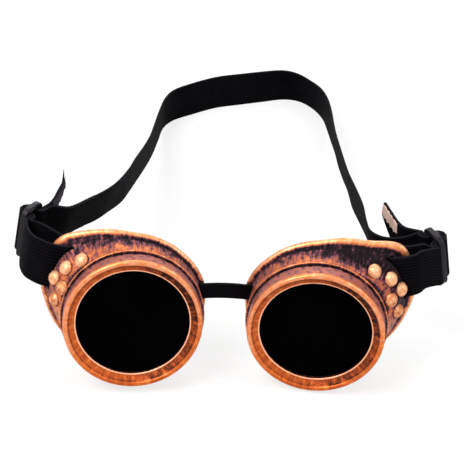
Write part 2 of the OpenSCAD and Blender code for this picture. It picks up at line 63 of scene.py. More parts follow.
def lobe(a, centre, power):  # 1 at one angle, falling to 0 a quarter turn away
    return max(0.0, cosDeg(a - centre)) ** power


def ramp(x, x0, x1, y0=0.0, y1=1.0):  # smooth step between two values
    t = min(1.0, max(0.0, (x - x0) / (x1 - x0)))
    t = t * t * (3 - 2 * t)
    return y0 + (y1 - y0) * t


def spline(a, b, c, d, t):
    return b + 0.5 * t * (c - a + t * (2 * a - 5 * b + 4 * c - d + t * (3 * (b - c) + d - a)))


def turnZ(p, a):
    c, s = cosDeg(a), sinDeg(a)
    return Vector((p[0] * c - p[1] * s, p[0] * s + p[1] * c, p[2]))


def turnX(p, a):
    c, s = cosDeg(a), sinDeg(a)
    return Vector((p[0], p[1] * c - p[2] * s, p[1] * s + p[2] * c))


def axesAt(place, axes):  # a matrix from a place in mm and its three directions
    return Matrix.Translation(Vector(place) * mm) @ Matrix(axes).transposed().to_4x4()


def hexColour(text):  # sRGB hex to linear RGBA
    parts = [int(text[i:i + 2], 16) / 255 for i in (1, 3, 5)]
    return tuple(c / 12.92 if c <= 0.04045 else ((c + 0.055) / 1.055) ** 2.4 for c in parts) + (1.0,)


def addNode(tree, kind, settings=None, links=None, stops=None):
    added = tree.nodes.new(kind)
    for key, value in (settings or {}).items():
        setattr(added, key, value)
    for key, value in (links or {}).items():
        if isinstance(value, bpy.types.NodeSocket):
            tree.links.new(value, added.inputs[key])
        else:
            added.inputs[key].default_value = value
    if stops:
        while len(added.color_ramp.elements) < len(stops):
            added.color_ramp.elements.new(0.5)
        for element, (place, colour) in zip(added.color_ramp.elements, stops):
            element.position = place
            element.color = hexColour(colour) if isinstance(colour, str) else (colour, colour, colour, 1)
    return added


def newMaterial(name):
    material = bpy.data.materials.new(name)
    material.use_nodes = True
    tree = material.node_tree
    tree.nodes.clear()
    shader = addNode(tree, "ShaderNodeBsdfPrincipled")
    addNode(tree, "ShaderNodeOutputMaterial", links={"Surface": shader.outputs["BSDF"]})
    return material, tree, shader


def pickPiece(piece):  # makes it the only selected object, and the active one
    bpy.ops.object.select_all(action="DESELECT")
    piece.select_set(True)
    bpy.context.view_layer.objects.active = piece


def editAll(piece):
    pickPiece(piece)
    bpy.ops.object.mode_set(mode="EDIT")
    bpy.ops.mesh.select_all(action="SELECT")


def faceOutwards(piece):
    editAll(piece)
    bpy.ops.mesh.normals_make_consistent(inside=False)
    bpy.ops.object.mode_set(mode="OBJECT")


def closeSurface(piece):  # merges the seams, which are within a few thousandths of a mm, and faces outwards
    editAll(piece)
    bpy.ops.mesh.remove_doubles(threshold=0.004 * mm)
    bpy.ops.mesh.normals_make_consistent(inside=False)
    bpy.ops.object.mode_set(mode="OBJECT")


def selectParts(piece, mode, chosen):  # leaves the piece in edit mode with only the chosen parts selected
    editAll(piece)
    bpy.ops.mesh.select_mode(type=mode)
    bpy.ops.mesh.select_all(action="DESELECT")
    bpy.ops.object.mode_set(mode="OBJECT")
    for part in (piece.data.edges if mode == "EDGE" else piece.data.vertices):
        part.select = part.index in chosen
    bpy.ops.object.mode_set(mode="EDIT")


def smoothPiece(piece, degrees):
    pickPiece(piece)
    bpy.ops.object.shade_smooth_by_angle(angle=math.radians(degrees))


def applyModifier(piece, name, kind, settings):
    modifier = piece.modifiers.new(name, kind)
    for key, value in settings.items():
        setattr(modifier, key, value)
    pickPiece(piece)
    bpy.ops.object.modifier_apply(modifier=name)


def applyPlace():  # puts the active object's place, turn and scale into its mesh
    bpy.ops.object.transform_apply(location=True, rotation=True, scale=True)


def placePiece(piece, matrix):  # moves the shape, so that the object stays at the origin
    piece.matrix_world = matrix @ piece.matrix_world
    pickPiece(piece)
    applyPlace()


def joinPieces(pieces, name):
    bpy.ops.object.select_all(action="DESELECT")
    for piece in pieces:
        piece.select_set(True)
    bpy.context.view_layer.objects.active = pieces[0]
    bpy.ops.object.join()
    pieces[0].name = name
    return pieces[0]


def addGrid(name, uCount, vCount, place):  # a flat grid bent so that place(u, v) gives each point
    bpy.ops.object.select_all(action="DESELECT")
    bpy.ops.mesh.primitive_grid_add(x_subdivisions=uCount, y_subdivisions=vCount, size=1)
    piece = bpy.context.active_object
    piece.name = name
    for vertex in piece.data.vertices:
        vertex.co = place(vertex.co.x + 0.5, vertex.co.y + 0.5)
    return piece


def spinProfile(name, profile, steps):  # a closed profile of [radius, height] spun round Z
    bpy.ops.object.select_all(action="DESELECT")
    bpy.ops.mesh.primitive_circle_add(vertices=len(profile), radius=0.01)
    piece = bpy.context.active_object
    piece.name = name
    for vertex, (radius, height) in zip(piece.data.vertices, profile):
        vertex.co = (radius * mm, 0, height * mm)
    editAll(piece)
    bpy.ops.mesh.spin(steps=steps, angle=2 * math.pi, center=(0, 0, 0), axis=(0, 0, 1))
    bpy.ops.object.mode_set(mode="OBJECT")
    closeSurface(piece)
    return piece


brushShift = (43.3, 41.6, 2.2)  # mm, keeps the plain planes of the noise off the copper


def setRub(piece, values, brushes, films=()):
    # The rub value is how far the black wash is rubbed off, and on the rings' beads it also holds painted shade
    # toward the bottom; brush is a place in mm and film is the purple tarnish.
    # Each is filled before the next is made, because a new one moves those before it.
    rubAndShade = piece.data.attributes.new("rubAndShade", "FLOAT", "POINT")
    rubAndShade.data.foreach_set("value", values)
    brush = piece.data.attributes.new("brush", "FLOAT_VECTOR", "POINT")
    brush.data.foreach_set("vector", [c + shift for b in brushes for c, shift in zip(b, brushShift)])
    film = piece.data.attributes.new("film", "FLOAT", "POINT")
    film.data.foreach_set("value", films or [0.0] * len(values))


# How the cups stand on the table, in degrees and mm, as in the CAD source.
pose = {"halfSpan": 37.25, "rightYaw": 2.4, "leftYaw": 8.2, "rightPitch": 6.9, "rightRoll": -1, "leftRoll": 1,
        "middleX": 3.45, "middleY": 142.5}

# Where the ring and the cup meet round the lenses: radii and heights in mm from the front of the lip.
lensFit = {"opening": 23, "neck": 26.6, "bore": 27.3, "ring": 28.3, "shoulder": 29.5, "seat": -5.6, "seatOut": 25.2,
           "ringBack": -5.7, "shoulderFront": -6.0, "shoulderBack": -7.0, "bead": 2.3, "bevel": 2.2, "lip": 1.2,
           "neckFront": -1.5}


def cupCentre(side):
    pitch = pose["rightPitch"] if side == "right" else 0
    rest = cup["depth"] - cup["rim"]
    up = lensFit["shoulder"] * cosDeg(pitch) + rest * sinDeg(pitch)
    return Vector((sides[side] * pose["halfSpan"] - pose["middleX"], -pose["middleY"], up))


def cupVector(side, p):  # p is [toward the temple, up, forward]
    r = turnZ(p, pose[side + "Roll"])
    pitch = pose["rightPitch"] if side == "right" else 0
    yaw = pose["rightYaw"] if side == "right" else -pose["leftYaw"]
    return turnZ(turnX((sides[side] * r[0], -r[2], r[1]), -pitch), yaw)


def cupPoint(side, p):
    return cupCentre(side) + cupVector(side, p)


def cupMatrix(side):  # its columns are the cup's own directions; on the right side it mirrors
    return axesAt(cupCentre(side), [cupVector(side, axis) for axis in ((1, 0, 0), (0, 1, 0), (0, 0, 1))])


def ringMatrix(side):  # the same without the mirror
    up, forward = cupVector(side, (0, 1, 0)), cupVector(side, (0, 0, 1))
    return axesAt(cupCentre(side), (up.cross(forward), up, forward))


# Eyecups: shoulder, flared wall, groove and rolled rim as one closed skin. Sizes in mm and degrees. The shape is
# how far the rim reaches past the shoulder, one share every 15 degrees from the temple over the top. The neck and
# the ring's bore are smooth here: only the CAD solids have the screw thread.
cup = {"wall": 1.8, "rim": 1.3, "depth": 20.5, "sweep": 2, "flare": 1.6, "frontRadius": 28.6, "sight": 22.8,
       "bulge": 0.85, "bulgeAngle": 28, "groove": 0.4, "grooveAt": 0.8, "grooveHalf": 0.04,
       "shoulderInner": 27.9, "shoulderRound": 0.42, "shoulderFoot": (28.75, -6.86), "neckFoot": -4.0,
       "rimStart": 62, "rimCrown": 0.16, "wallSteps": 22, "around": 192, "seam": 255,
       "reach": {"right": 12.2, "left": 14.8},
       "shape": [0.52, 0.77, 0.90, 0.97, 0.64, 0.38, 0.20, 0.16, 0.15, 0.15, 0.17, 0.16,
                 0.07, 0.04, 0.02, 0, 0, 0, 0, 0, 0.02, 0.08, 0.20, 0.34],
       "leftSquare": [0, 0, 0.04, 0.12, -0.03]}
slot = {"low": 12, "high": 44, "lean": 13, "width": 3.4, "clear": 0.9, "inner": 8.6, "reach": 9.8, "outer": 8,
        "tip": 3, "edge": 0.3}


def rimShare(side, i):
    square = cup["leftSquare"]
    k = i % len(cup["shape"])
    return cup["shape"][k] + (square[k] if side == "left" and k < len(square) else 0)


def rimOut(side, a):
    step = 360 / len(cup["shape"])
    i = math.floor(a / step)
    shares = [rimShare(side, i + k) for k in (-1, 0, 1, 2)]
    return lensFit["shoulder"] + cup["reach"][side] * spline(*shares, a / step - i)


def rimBack(a):
    return -(cup["depth"] + cup["sweep"] * cosDeg(a))


def flareAt(a):
    return cup["flare"] - cup["bulge"] * lobe(a, cup["bulgeAngle"], 4)


def wallRadius(side, a, t):  # t runs from 0 at the shoulder to 1 at the rim
    return cup["frontRadius"] + (rimOut(side, a) - cup["rim"] - cup["frontRadius"]) * max(t, 0) ** flareAt(a)


def wallDepth(a, t):
    front = lensFit["shoulderBack"] + 0.4
    return front + (rimBack(a) + cup["rim"] - front) * t


def cupProfile(side, a):
    rim, wall, back, corner = cup["rim"], cup["wall"], rimBack(a), cup["shoulderRound"]
    shoulder, front, sight = lensFit["shoulder"], lensFit["shoulderFront"], cup["sight"]
    points = [(lensFit["neck"], front), (cup["shoulderInner"], front)]
    for b in range(90, -91, -30):  # rounded edge of the shoulder
        points.append((shoulder - corner + corner * cosDeg(b), front - corner + corner * sinDeg(b)))
    points.append(cup["shoulderFoot"])
    for k in range(1, cup["wallSteps"] + 1):  # rows stand closer together beside the shoulder
        t = 0.02 + 0.84 * (k / cup["wallSteps"]) ** 1.3
        dip = cup["groove"] * math.exp(-((t - cup["grooveAt"]) / cup["grooveHalf"]) ** 2)
        points.append((wallRadius(side, a, t) - dip, wallDepth(a, t)))
    centre = rimOut(side, a) - rim
    foot = points[-1]
    lip = (centre + rim * cosDeg(cup["rimStart"]), back + rim + rim * sinDeg(cup["rimStart"]))
    for k in range(1, 5):  # front of the rim, a little rounded
        crown = cup["rimCrown"] * math.sin(math.pi * k / 5)
        points.append((foot[0] + (lip[0] - foot[0]) * k / 5, foot[1] + (lip[1] - foot[1]) * k / 5 + crown))
    for k in range(19):  # rolled rim, from its front round to the inside
        b = cup["rimStart"] - (cup["rimStart"] + 180) * k / 18
        points.append((centre + rim * cosDeg(b), back + rim + rim * sinDeg(b)))
    for k in range(11, -1, -1):  # inside of the wall
        t = 0.98 * k / 11
        points.append((wallRadius(side, a, t) - wall, wallDepth(a, t)))
    points += [(sight + 0.3, lensFit["shoulderBack"]), (sight, lensFit["shoulderBack"] + 0.3),
               (sight, lensFit["seat"]), (lensFit["seatOut"], lensFit["seat"]),
               (lensFit["seatOut"], lensFit["neckFront"]),
               (lensFit["neck"], lensFit["neckFront"]), (lensFit["neck"], cup["neckFoot"])]
    return points + [points[0]]


def slotOut(side):
    angles = range(slot["low"], slot["high"] + 1, 4)
    return max(rimOut(side, a) * cosDeg(a - slot["lean"]) for a in angles) - cup["rim"]


def slotUp(side):
    return sum(rimOut(side, a) * sinDeg(a - slot["lean"]) for a in (slot["low"], slot["high"])) / 2


def cutBox(side, low, high, tip=0, lean=0, anchor=(0, 0, 0)):  # a soft-edged cutter, in the cup's directions
    bpy.ops.object.select_all(action="DESELECT")
    size = [(high[i] - low[i]) * mm for i in range(3)]
    middle = [(high[i] + low[i]) / 2 * mm for i in range(3)]
    bpy.ops.mesh.primitive_cube_add(size=1, location=middle, scale=size)
    cutter = bpy.context.active_object
    applyPlace()
    editAll(cutter)
    bpy.ops.mesh.bevel(offset=slot["edge"] * mm, segments=2, affect="EDGES")
    bpy.ops.object.mode_set(mode="OBJECT")
    local = (Matrix.Rotation(math.radians(lean), 4, "Z") @ Matrix.Translation(Vector(anchor) * mm)
             @ Matrix.Rotation(math.radians(tip), 4, "X"))
    placePiece(cutter, cupMatrix(side) @ local)
    closeSurface(cutter)
    return cutter


def makeEyecup(side):
    rows = {}
    count = len(cupProfile(side, 0)) - 1

    def place(u, v):
        a = round(u * cup["around"]) % cup["around"] * 360 / cup["around"]
        a = (a + cup["seam"]) % 360  # the seam lies under the nose side
        if a not in rows:
            rows[a] = cupProfile(side, a)
        r, z = rows[a][round(v * count)]
        return cupPoint(side, (*polar(r, a), z)) * mm

    piece = addGrid(side + "_cup", cup["around"], count, place)
    closeSurface(piece)
    half, deep = web["width"] / 2 + slot["clear"], slot["width"] / 2
    strapCutter = cutBox(side, (-slot["reach"], -half, -deep), (slot["outer"], half, deep), slot["tip"], slot["lean"],
                         (slotOut(side), slotUp(side), slotMid))
    tall, wide = strip["height"] / 2 + strip["slotClear"], strip["slotWidth"] / 2
    edge = -rimOut(side, 180) - 6  # well outside the rim at the nose
    noseCutter = cutBox(side, (edge, strip["up"] - tall, -strip["back"] - wide),
                        (edge + 16, strip["up"] + tall, -strip["back"] + wide))
    for cutter in (strapCutter, noseCutter):
        applyModifier(piece, "Slot", "BOOLEAN", {"operation": "DIFFERENCE", "object": cutter, "solver": "EXACT"})
        bpy.data.objects.remove(cutter)
    smoothPiece(piece, 40)
    rubCup(piece, side)
    return piece


# How far the black wash is rubbed off the cup, from 0, all black, to 1, bright copper. A stain is [angle, how
# narrow, how dark, where it starts and where it is full along the wall]. The hollow lies in front of the rim.
wash = {"shoulderLine": 0.76, "shoulderFlank": 0.34, "rimFront": (0.3, 0.86), "rimTop": 0.92, "inside": 0.3,
        "back": 0.85, "backInside": 0.35, "foot": 0.04, "rubbed": 0.58, "towardRim": 0.2, "below": 0.3, "least": 0.05,
        "stains": {"right": [(50, 3, 0.08, 0.2, 0.6), (105, 3, 0.1, 0.35, 0.7)],
                   "left": [(50, 3, 0.45, 0.12, 0.4), (25, 4, 0.14, 0.06, 0.2)]},
        "hollow": {"right": (0.16, 0.26, 140, 6), "left": (0.2, 0.3, 65, 2)},
        "brushRadius": 35}


def rubWall(side, a, t):  # rubbed beside the shoulder, black wash left toward the rim and around the studs
    below = lobe(a, -40, 2)
    rubAndShade = wash["foot"] + ramp(t, 0.03, 0.13, 0, wash["rubbed"]) - ramp(t, 0.2, 0.6, 0, wash["towardRim"])
    rubAndShade += below * wash["below"]
    for centre, power, depth, start, full in wash["stains"][side]:
        rubAndShade -= lobe(a, centre, power) * depth * ramp(t, start, full)
    base, more, centre, power = wash["hollow"][side]
    hollow = ramp(t, 0.66, 0.76, 0, base + more * lobe(a, centre, power))
    return max(wash["least"], rubAndShade - hollow * (1 - 0.7 * below))


def rubCup(piece, side):
    inverse = cupMatrix(side).inverted()
    values, brushes = [], []
    for vertex in piece.data.vertices:
        p = inverse @ vertex.co / mm
        a = math.degrees(math.atan2(p.y, p.x)) % 360
        r = math.hypot(p.x, p.y)
        front, back = wallDepth(a, 0), wallDepth(a, 1)
        t = (p.z - front) / (back - front)
        skin = r - wallRadius(side, a, min(max(t, 0), 1))  # how far it stands out of the wall
        roll = (r - (rimOut(side, a) - cup["rim"])) / cup["rim"]
        if r > lensFit["shoulder"] - 1.1 and p.z > -6.75 and t < 0.05:
            onEdge = r > lensFit["shoulder"] - 0.3 and p.z > -6.55
            rubAndShade = wash["shoulderLine"] if onEdge else wash["shoulderFlank"]
        elif t > 0.8 and (skin > 0.06 or roll > 0.2):
            rubAndShade = ramp(skin, 0.05, 1.3, *wash["rimFront"]) if roll < 0.4 else wash["rimTop"]
        elif skin < -0.9 and p.z > rimBack(a) + 1.5:
            rubAndShade = wash["inside"] + 0.1 * math.sin(a / 17)
        elif t > 0.99:
            rubAndShade = wash["back"] if skin > -0.9 else wash["backInside"]
        else:
            rubAndShade = rubWall(side, a, t)
        values.append(rubAndShade)
        brushes.append((*polar(wash["brushRadius"], a), r - p.z))
    setRub(piece, values, brushes)


# Studs, each at [angle, share of the wall], with how far its top is rubbed. Sizes in mm.
studs = {"places": [(49, 0.32, 0.98), (36.5, 0.41, 0.98), (24.5, 0.58, 0.98), (23.5, 0.22, 0.8), (10, 0.46, 0.8)],
         "shift": {"right": -0.06, "left": 0}, "radius": 3.25, "flat": 0.97, "foot": 0.15, "sunk": 1, "black": 0.05}


def makeStuds(side):  # one domed rivet head, copied to its five places
    radius = studs["radius"]
    bpy.ops.object.select_all(action="DESELECT")
    bpy.ops.mesh.primitive_uv_sphere_add(segments=40, ring_count=24, radius=radius * mm)
    first = bpy.context.active_object
    first.scale.z = studs["flat"]
    applyPlace()
    editAll(first)
    bpy.ops.mesh.bisect(plane_co=(0, 0, studs["foot"] * mm), plane_no=(0, 0, 1), clear_inner=True, use_fill=True)
    bpy.ops.object.mode_set(mode="OBJECT")
    heads, values, brushes = [], [], []
    for index, (a, t, wornAndShade) in enumerate(studs["places"]):
        t += studs["shift"][side]
        head = first.copy()
        head.data = first.data.copy()
        bpy.context.scene.collection.objects.link(head)
        run = (rimOut(side, a) - cup["rim"] - cup["frontRadius"]) * flareAt(a) * t ** (flareAt(a) - 1)
        tip = math.atan2(run, wallDepth(a, 0) - wallDepth(a, 1))
        normal = Vector((*polar(math.cos(tip), a), math.sin(tip)))
        base = Vector((*polar(wallRadius(side, a, t) - studs["sunk"], a), wallDepth(a, t)))
        for vertex in head.data.vertices:
            height = vertex.co.z / (radius * mm)
            values.append(studs["black"] + ramp(height, 0.2, 0.42, 0, wornAndShade - studs["black"]))
            brushes.append((vertex.co.x / mm + 9 * index, vertex.co.y / mm, vertex.co.z / mm))
        turn = normal.to_track_quat("Z", "Y").to_matrix().to_4x4()
        placePiece(head, cupMatrix(side) @ Matrix.Translation(base * mm) @ turn)
        heads.append(head)
    bpy.data.objects.remove(first)
    piece = joinPieces(heads, side + "_cup_studs")
    setRub(piece, values, brushes)
    faceOutwards(piece)
    smoothPiece(piece, 40)
    return piece


# Screw rings: thin lip, dished bevel and rounded bead. The lip's edge is [out from the opening, height] in mm.
screwRing = {"lipEdge": [(0, -0.25), (0.1, -0.05), (0.3, 0.05), (0.5, 0.08), (0.75, 0.12)], "dish": 1.15,
             "sideRows": [0.6, 0.0, -0.8, -1.8, -2.8, -3.8, -4.8, -5.4], "backRound": [(0.12, -5.62), (0.3, -5.7)],
             "boreRow": -3.2, "steps": 192, "brushRadius": 28, "lipRub": 1.0, "beadRub": 0.9, "bevelRub": 0.7,
             "sideRub": 0.49, "insideRub": 0.15}


def ringProfile():
    edge = lensFit["bead"] / 2
    beadZ = lensFit["bevel"] - edge
    ring, opening, bore = lensFit["ring"], lensFit["opening"], lensFit["bore"]
    points = [(opening, -lensFit["lip"])] + [(opening + out, z) for out, z in screwRing["lipEdge"]]
    startR, startZ = points[-1]
    innerR, innerZ = ring - lensFit["bead"] - 0.3, beadZ + 0.25
    for k in range(1, 7):  # dished bevel
        t = k / 7
        points.append((startR + (innerR - startR) * t, startZ + (innerZ - startZ) * t ** screwRing["dish"]))
    for b in range(160, -1, -10):  # bead
        points.append((ring - edge + edge * cosDeg(b), beadZ + edge * sinDeg(b)))
    points += [(ring, z) for z in screwRing["sideRows"]]
    points += [(ring - inward, z) for inward, z in screwRing["backRound"]]
    return points + [(bore, lensFit["ringBack"]), (bore, screwRing["boreRow"]), (bore, -lensFit["lip"])]


def makeRing(side):
    piece = spinProfile(side + "_screw_ring", ringProfile(), screwRing["steps"])
    inward = lensFit["ring"] - lensFit["bead"]
    values, brushes, films = [], [], []
    for vertex in piece.data.vertices:
        p = vertex.co / mm
        r, a = math.hypot(p.x, p.y), math.degrees(math.atan2(p.y, p.x))
        if r > lensFit["ring"] - 0.2:
            rubAndShade = ramp(p.z, 1.0, -0.2, screwRing["beadRub"], screwRing["sideRub"])
            rubAndShade -= ramp(p.z, -0.4, -3.4, 0, 0.06) + ramp(p.z, -4.8, -5.7, 0, 0.3)
        elif p.z < -0.2:
            rubAndShade = screwRing["insideRub"]
        elif r > inward + 0.15:
            # Painted shade: the bead is drawn darker toward its bottom.
            rubAndShade = screwRing["beadRub"] - 0.18 * lobe(a, 285, 1)
        elif r < lensFit["opening"] + 0.6:
            rubAndShade = screwRing["lipRub"]
        else:
            rubAndShade = screwRing["bevelRub"] - 0.12 * ramp(r, inward - 0.8, inward - 0.1)
            rubAndShade -= 0.46 * lobe(a, 38, 3) + 0.26 * lobe(a, -50, 4)  # worn least at the upper and lower right
        values.append(rubAndShade)
        brushes.append((*polar(screwRing["brushRadius"], a), r - p.z))
        films.append(ramp(p.z, 1.1, 0.2) if r > lensFit["ring"] - 0.4 else 0.0)
    setRub(piece, values, brushes, films)
    placePiece(piece, ringMatrix(side))
    smoothPiece(piece, 40)
    return piece


# Webbing and buckles, in mm and degrees, as in the CAD source.
web = {"width": 19.5, "thick": 1.2, "tip": 8, "tail": 30, "ribs": 1.5, "pick": 1.1}
buckle = {"rim": 2, "bar": 2.2, "thick": 2.4, "mid": 1.25, "gap": 0.3, "layer": 0.3, "turn": 30, "rise": 1.2,
          "place": {"right": (46.2, -54), "left": (50.6, -36.5)}, "lean": {"right": 9, "left": 10},
          "drop": {"right": 2, "left": 3}, "corner": 4, "round": 0.9, "barEnd": 1.4, "barRound": 0.4}

barBack = rimBack((slot["low"] + slot["high"]) / 2) + cup["rim"]
slotRear = barBack + cup["rim"] + 0.2 + math.tan(math.radians(slot["tip"])) * web["width"] / 2
slotMid = slotRear + slot["width"] / 2
faceDir = (cosDeg(buckle["turn"]), -sinDeg(buckle["turn"]))
frontDir = (sinDeg(buckle["turn"]), cosDeg(buckle["turn"]))
innerTurn = buckle["mid"] + buckle["gap"] + web["thick"] / 2  # the layer next to the middle bar
outerTurn = innerTurn + web["thick"] + buckle["layer"]
windowLength = outerTurn + web["thick"] / 2 + buckle["gap"]
windowHeight = web["width"] + 1.2


def strapPoint(side, q, v=0):
    return cupPoint(side, turnZ((q[0], slotUp(side) + v, q[1]), slot["lean"]))


def buckleVector(side, q, v=0):
    return turnZ(turnX((q[0], v, q[1]), web["tip"]), buckle["lean"][side])


def bucklePoint(side, q, v=0):
    return strapPoint(side, buckle["place"][side], -buckle["drop"][side]) + cupVector(side, buckleVector(side, q, v))


def buckleUp(side):
    return cupVector(side, buckleVector(side, (0, 0), 1))


# A route is a list of stations, each [middle of the webbing, its upward direction].
def barStations(side, r, toward):  # round the middle bar and out under the end bar
    c, under = windowLength - r, -buckle["thick"] / 2
    angles = [4 + 86 * k / 12 for k in range(13)]
    line = [(r * sinDeg(a), buckle["rise"] + r * cosDeg(a)) for a in angles]
    line += [(windowLength - c * cosDeg(b), under - c * sinDeg(b)) for b in range(0, 91, 15)]
    line.append((windowLength + buckle["bar"] + buckle["gap"], under - c))
    stations = []
    for x, y in line:
        q = (toward * x * frontDir[0] + y * faceDir[0], toward * x * frontDir[1] + y * faceDir[1])
        stations.append((bucklePoint(side, q), buckleUp(side)))
    return stations


def smoothStations(stations, steps):
    out = []
    last = len(stations) - 1
    for i in range(last):
        picks = [stations[max(i - 1, 0)], stations[i], stations[i + 1], stations[min(i + 2, last)]]
        for k in range(steps):
            out.append((spline(*(s[0] for s in picks), k / steps), spline(*(s[1] for s in picks), k / steps)))
    return out + [stations[last]]


def walked(stations):
    distances = [0.0]
    for i in range(1, len(stations)):
        distances.append(distances[-1] + (stations[i][0] - stations[i - 1][0]).length)
    return distances


def cutStations(stations, low, high):  # the part of a route between two distances, with its start
    distances = walked(stations)
    picked = [i for i, d in enumerate(distances) if low - 1e-6 <= d <= high + 1e-6]
    return [stations[i] for i in picked], distances[picked[0]]


def nearest(distances, value):
    return min(distances, key=lambda d: abs(d - value))


def loopStations(side):  # buckle, inside of the cup, out through the slot and back to the buckle
    e, w = slotOut(side), slotMid
    inner = e - slot["inner"]
    if side == "right":
        start = [(e + 3.6, barBack - 16), (e - 2.4, barBack - 10), (inner - 0.6, barBack - 4)]
        end = [(e + 7.2, w - 5), (e + 9.6, w - 11.6), (e + 10.4, w - 19.6)]
    else:
        start = [(e + 6.4, barBack - 5.6), (e + 1.2, barBack - 5), (e - 4, barBack - 5.2),
                 (inner - 0.2, barBack - 3.2)]
        end = [(e + 5.6, w - 4.2)]
    route = start + [(inner, w - 2.6), (inner + 1.2, w - 0.5), (inner + 3.4, w), (e - 1, w), (e + 2.6, w - 1.2)] + end
    rest, bar = cupVector(side, turnZ(turnX((0, 1, 0), slot["tip"]), slot["lean"])), buckleUp(side)
    first, last = barStations(side, innerTurn, 1), barStations(side, outerTurn, 1)[::-1]
    n = len(route) - 1
    middle = [(strapPoint(side, q), bar + (rest - bar) * min(1, min(i, n - i) / 3)) for i, q in enumerate(route)]
    return first[:-1] + smoothStations([first[-1]] + middle + [last[0]], 6) + last[1:]


# Free ends past the buckle: [inward, back, up, lean inward, lean back], in mm from the buckle's top.
tailRoutes = {"right": [[1.8, 2.6, 0, 0.1, -0.14], [3.6, 8.2, -0.1, 0.05, -0.08], [4.9, 15.5, -0.1, 0.03, 0],
                        [6.6, 23.5, 0, 0.02, 0]],
              "left": [[2, 2.2, -0.8, 0.20, -0.10], [5.9, 5.6, -1.6, 0.14, -0.08], [8.1, 11.4, -2.1, 0.06, 0],
                       [9.8, 19.7, -2.1, 0.02, 0], [11.4, 28.1, -2.1, 0, 0]]}


def tailStations(side):
    bar = barStations(side, outerTurn, -1)
    top = bar[-1][0] + bar[-1][1] * web["width"] / 2
    free = []
    for inward, back, up, leanIn, leanBack in tailRoutes[side]:
        u = Vector((-sides[side] * leanIn, leanBack, 1)).normalized()
        free.append((top + Vector((-sides[side] * inward, back, up)) - u * web["width"] / 2, u))
    return bar[:-1] + smoothStations([bar[-1]] + free, 16)


# The head strap on the table: [x, y, height of its lower edge, lean in x, lean in y], in mm.
strapRoute = [[-73.2, 59.8, 33.6, 0.1, -0.2], [-68, 61, 33.6, 0.25, -0.28], [-61, 69, 33.8, 0.33, -0.28],
              [-53, 79, 33.1, 0.34, -0.2], [-48, 89, 32.1, 0.34, -0.12], [-43, 104, 29.5, 0.24, -0.06],
              [-40, 120, 26.4, 0.2, -0.04], [-36.5, 142, 21.2, 0.2, -0.04], [-33, 166, 15.5, 0.17, -0.03],
              [-30, 192, 9.8, 0.1, 0], [-27, 220, 4.7, 0.07, 0], [-24, 242.5, 1.4, 0.08, -0.03],
              [-18.5, 255.5, 0.4, 0.04, -0.03], [-8, 265.5, 0, 0, 0], [6, 275.5, 0, 0, 0], [20, 281, 0, 0, 0],
              [34, 286, 0, 0, -0.02], [46, 289.5, 0, -0.08, -0.1], [55, 286.5, 0, -0.18, -0.14],
              [62, 276.5, 0.2, -0.22, -0.08], [66.5, 263.5, 0.6, -0.16, 0], [68, 247.5, 1.6, -0.1, 0],
              [68, 228, 3.6, -0.12, 0], [67, 206, 7.8, -0.18, 0], [65.5, 182, 12.9, -0.2, 0],
              [64.5, 158, 18.1, -0.22, 0], [63.5, 132, 24.3, -0.26, 0], [62.5, 106, 29.5, -0.24, 0],
              [63.2, 84, 33.1, -0.25, 0], [64.2, 66, 34.8, -0.27, 0], [64, 51.5, 35, -0.27, -0.04],
              [64.8, 42.6, 35.2, -0.26, -0.08], [69.6, 37, 35.6, -0.24, -0.1], [76.8, 35.8, 36.4, -0.22, -0.1]]


def headStations():
    shift = Vector((pose["middleX"], pose["middleY"], 0))
    right, left = barStations("right", innerTurn, -1), barStations("left", innerTurn, -1)[::-1]
    laid = [right[-1]]
    for x, y, low, leanX, leanY in strapRoute:
        u = Vector((leanX, leanY, 1)).normalized()
        laid.append((Vector((x, y, low + u.z * web["width"] / 2)) - shift, u))
    out = []
    for p, up in smoothStations(laid + [left[0]], 6):
        u = up.normalized()
        low = u.z * web["width"] / 2 + math.sqrt(1 - u.z ** 2) * web["thick"] / 2  # it rests on the table
        out.append((Vector((p.x, p.y, max(p.z, low))), u))
    return right[:-1] + out + left[1:]


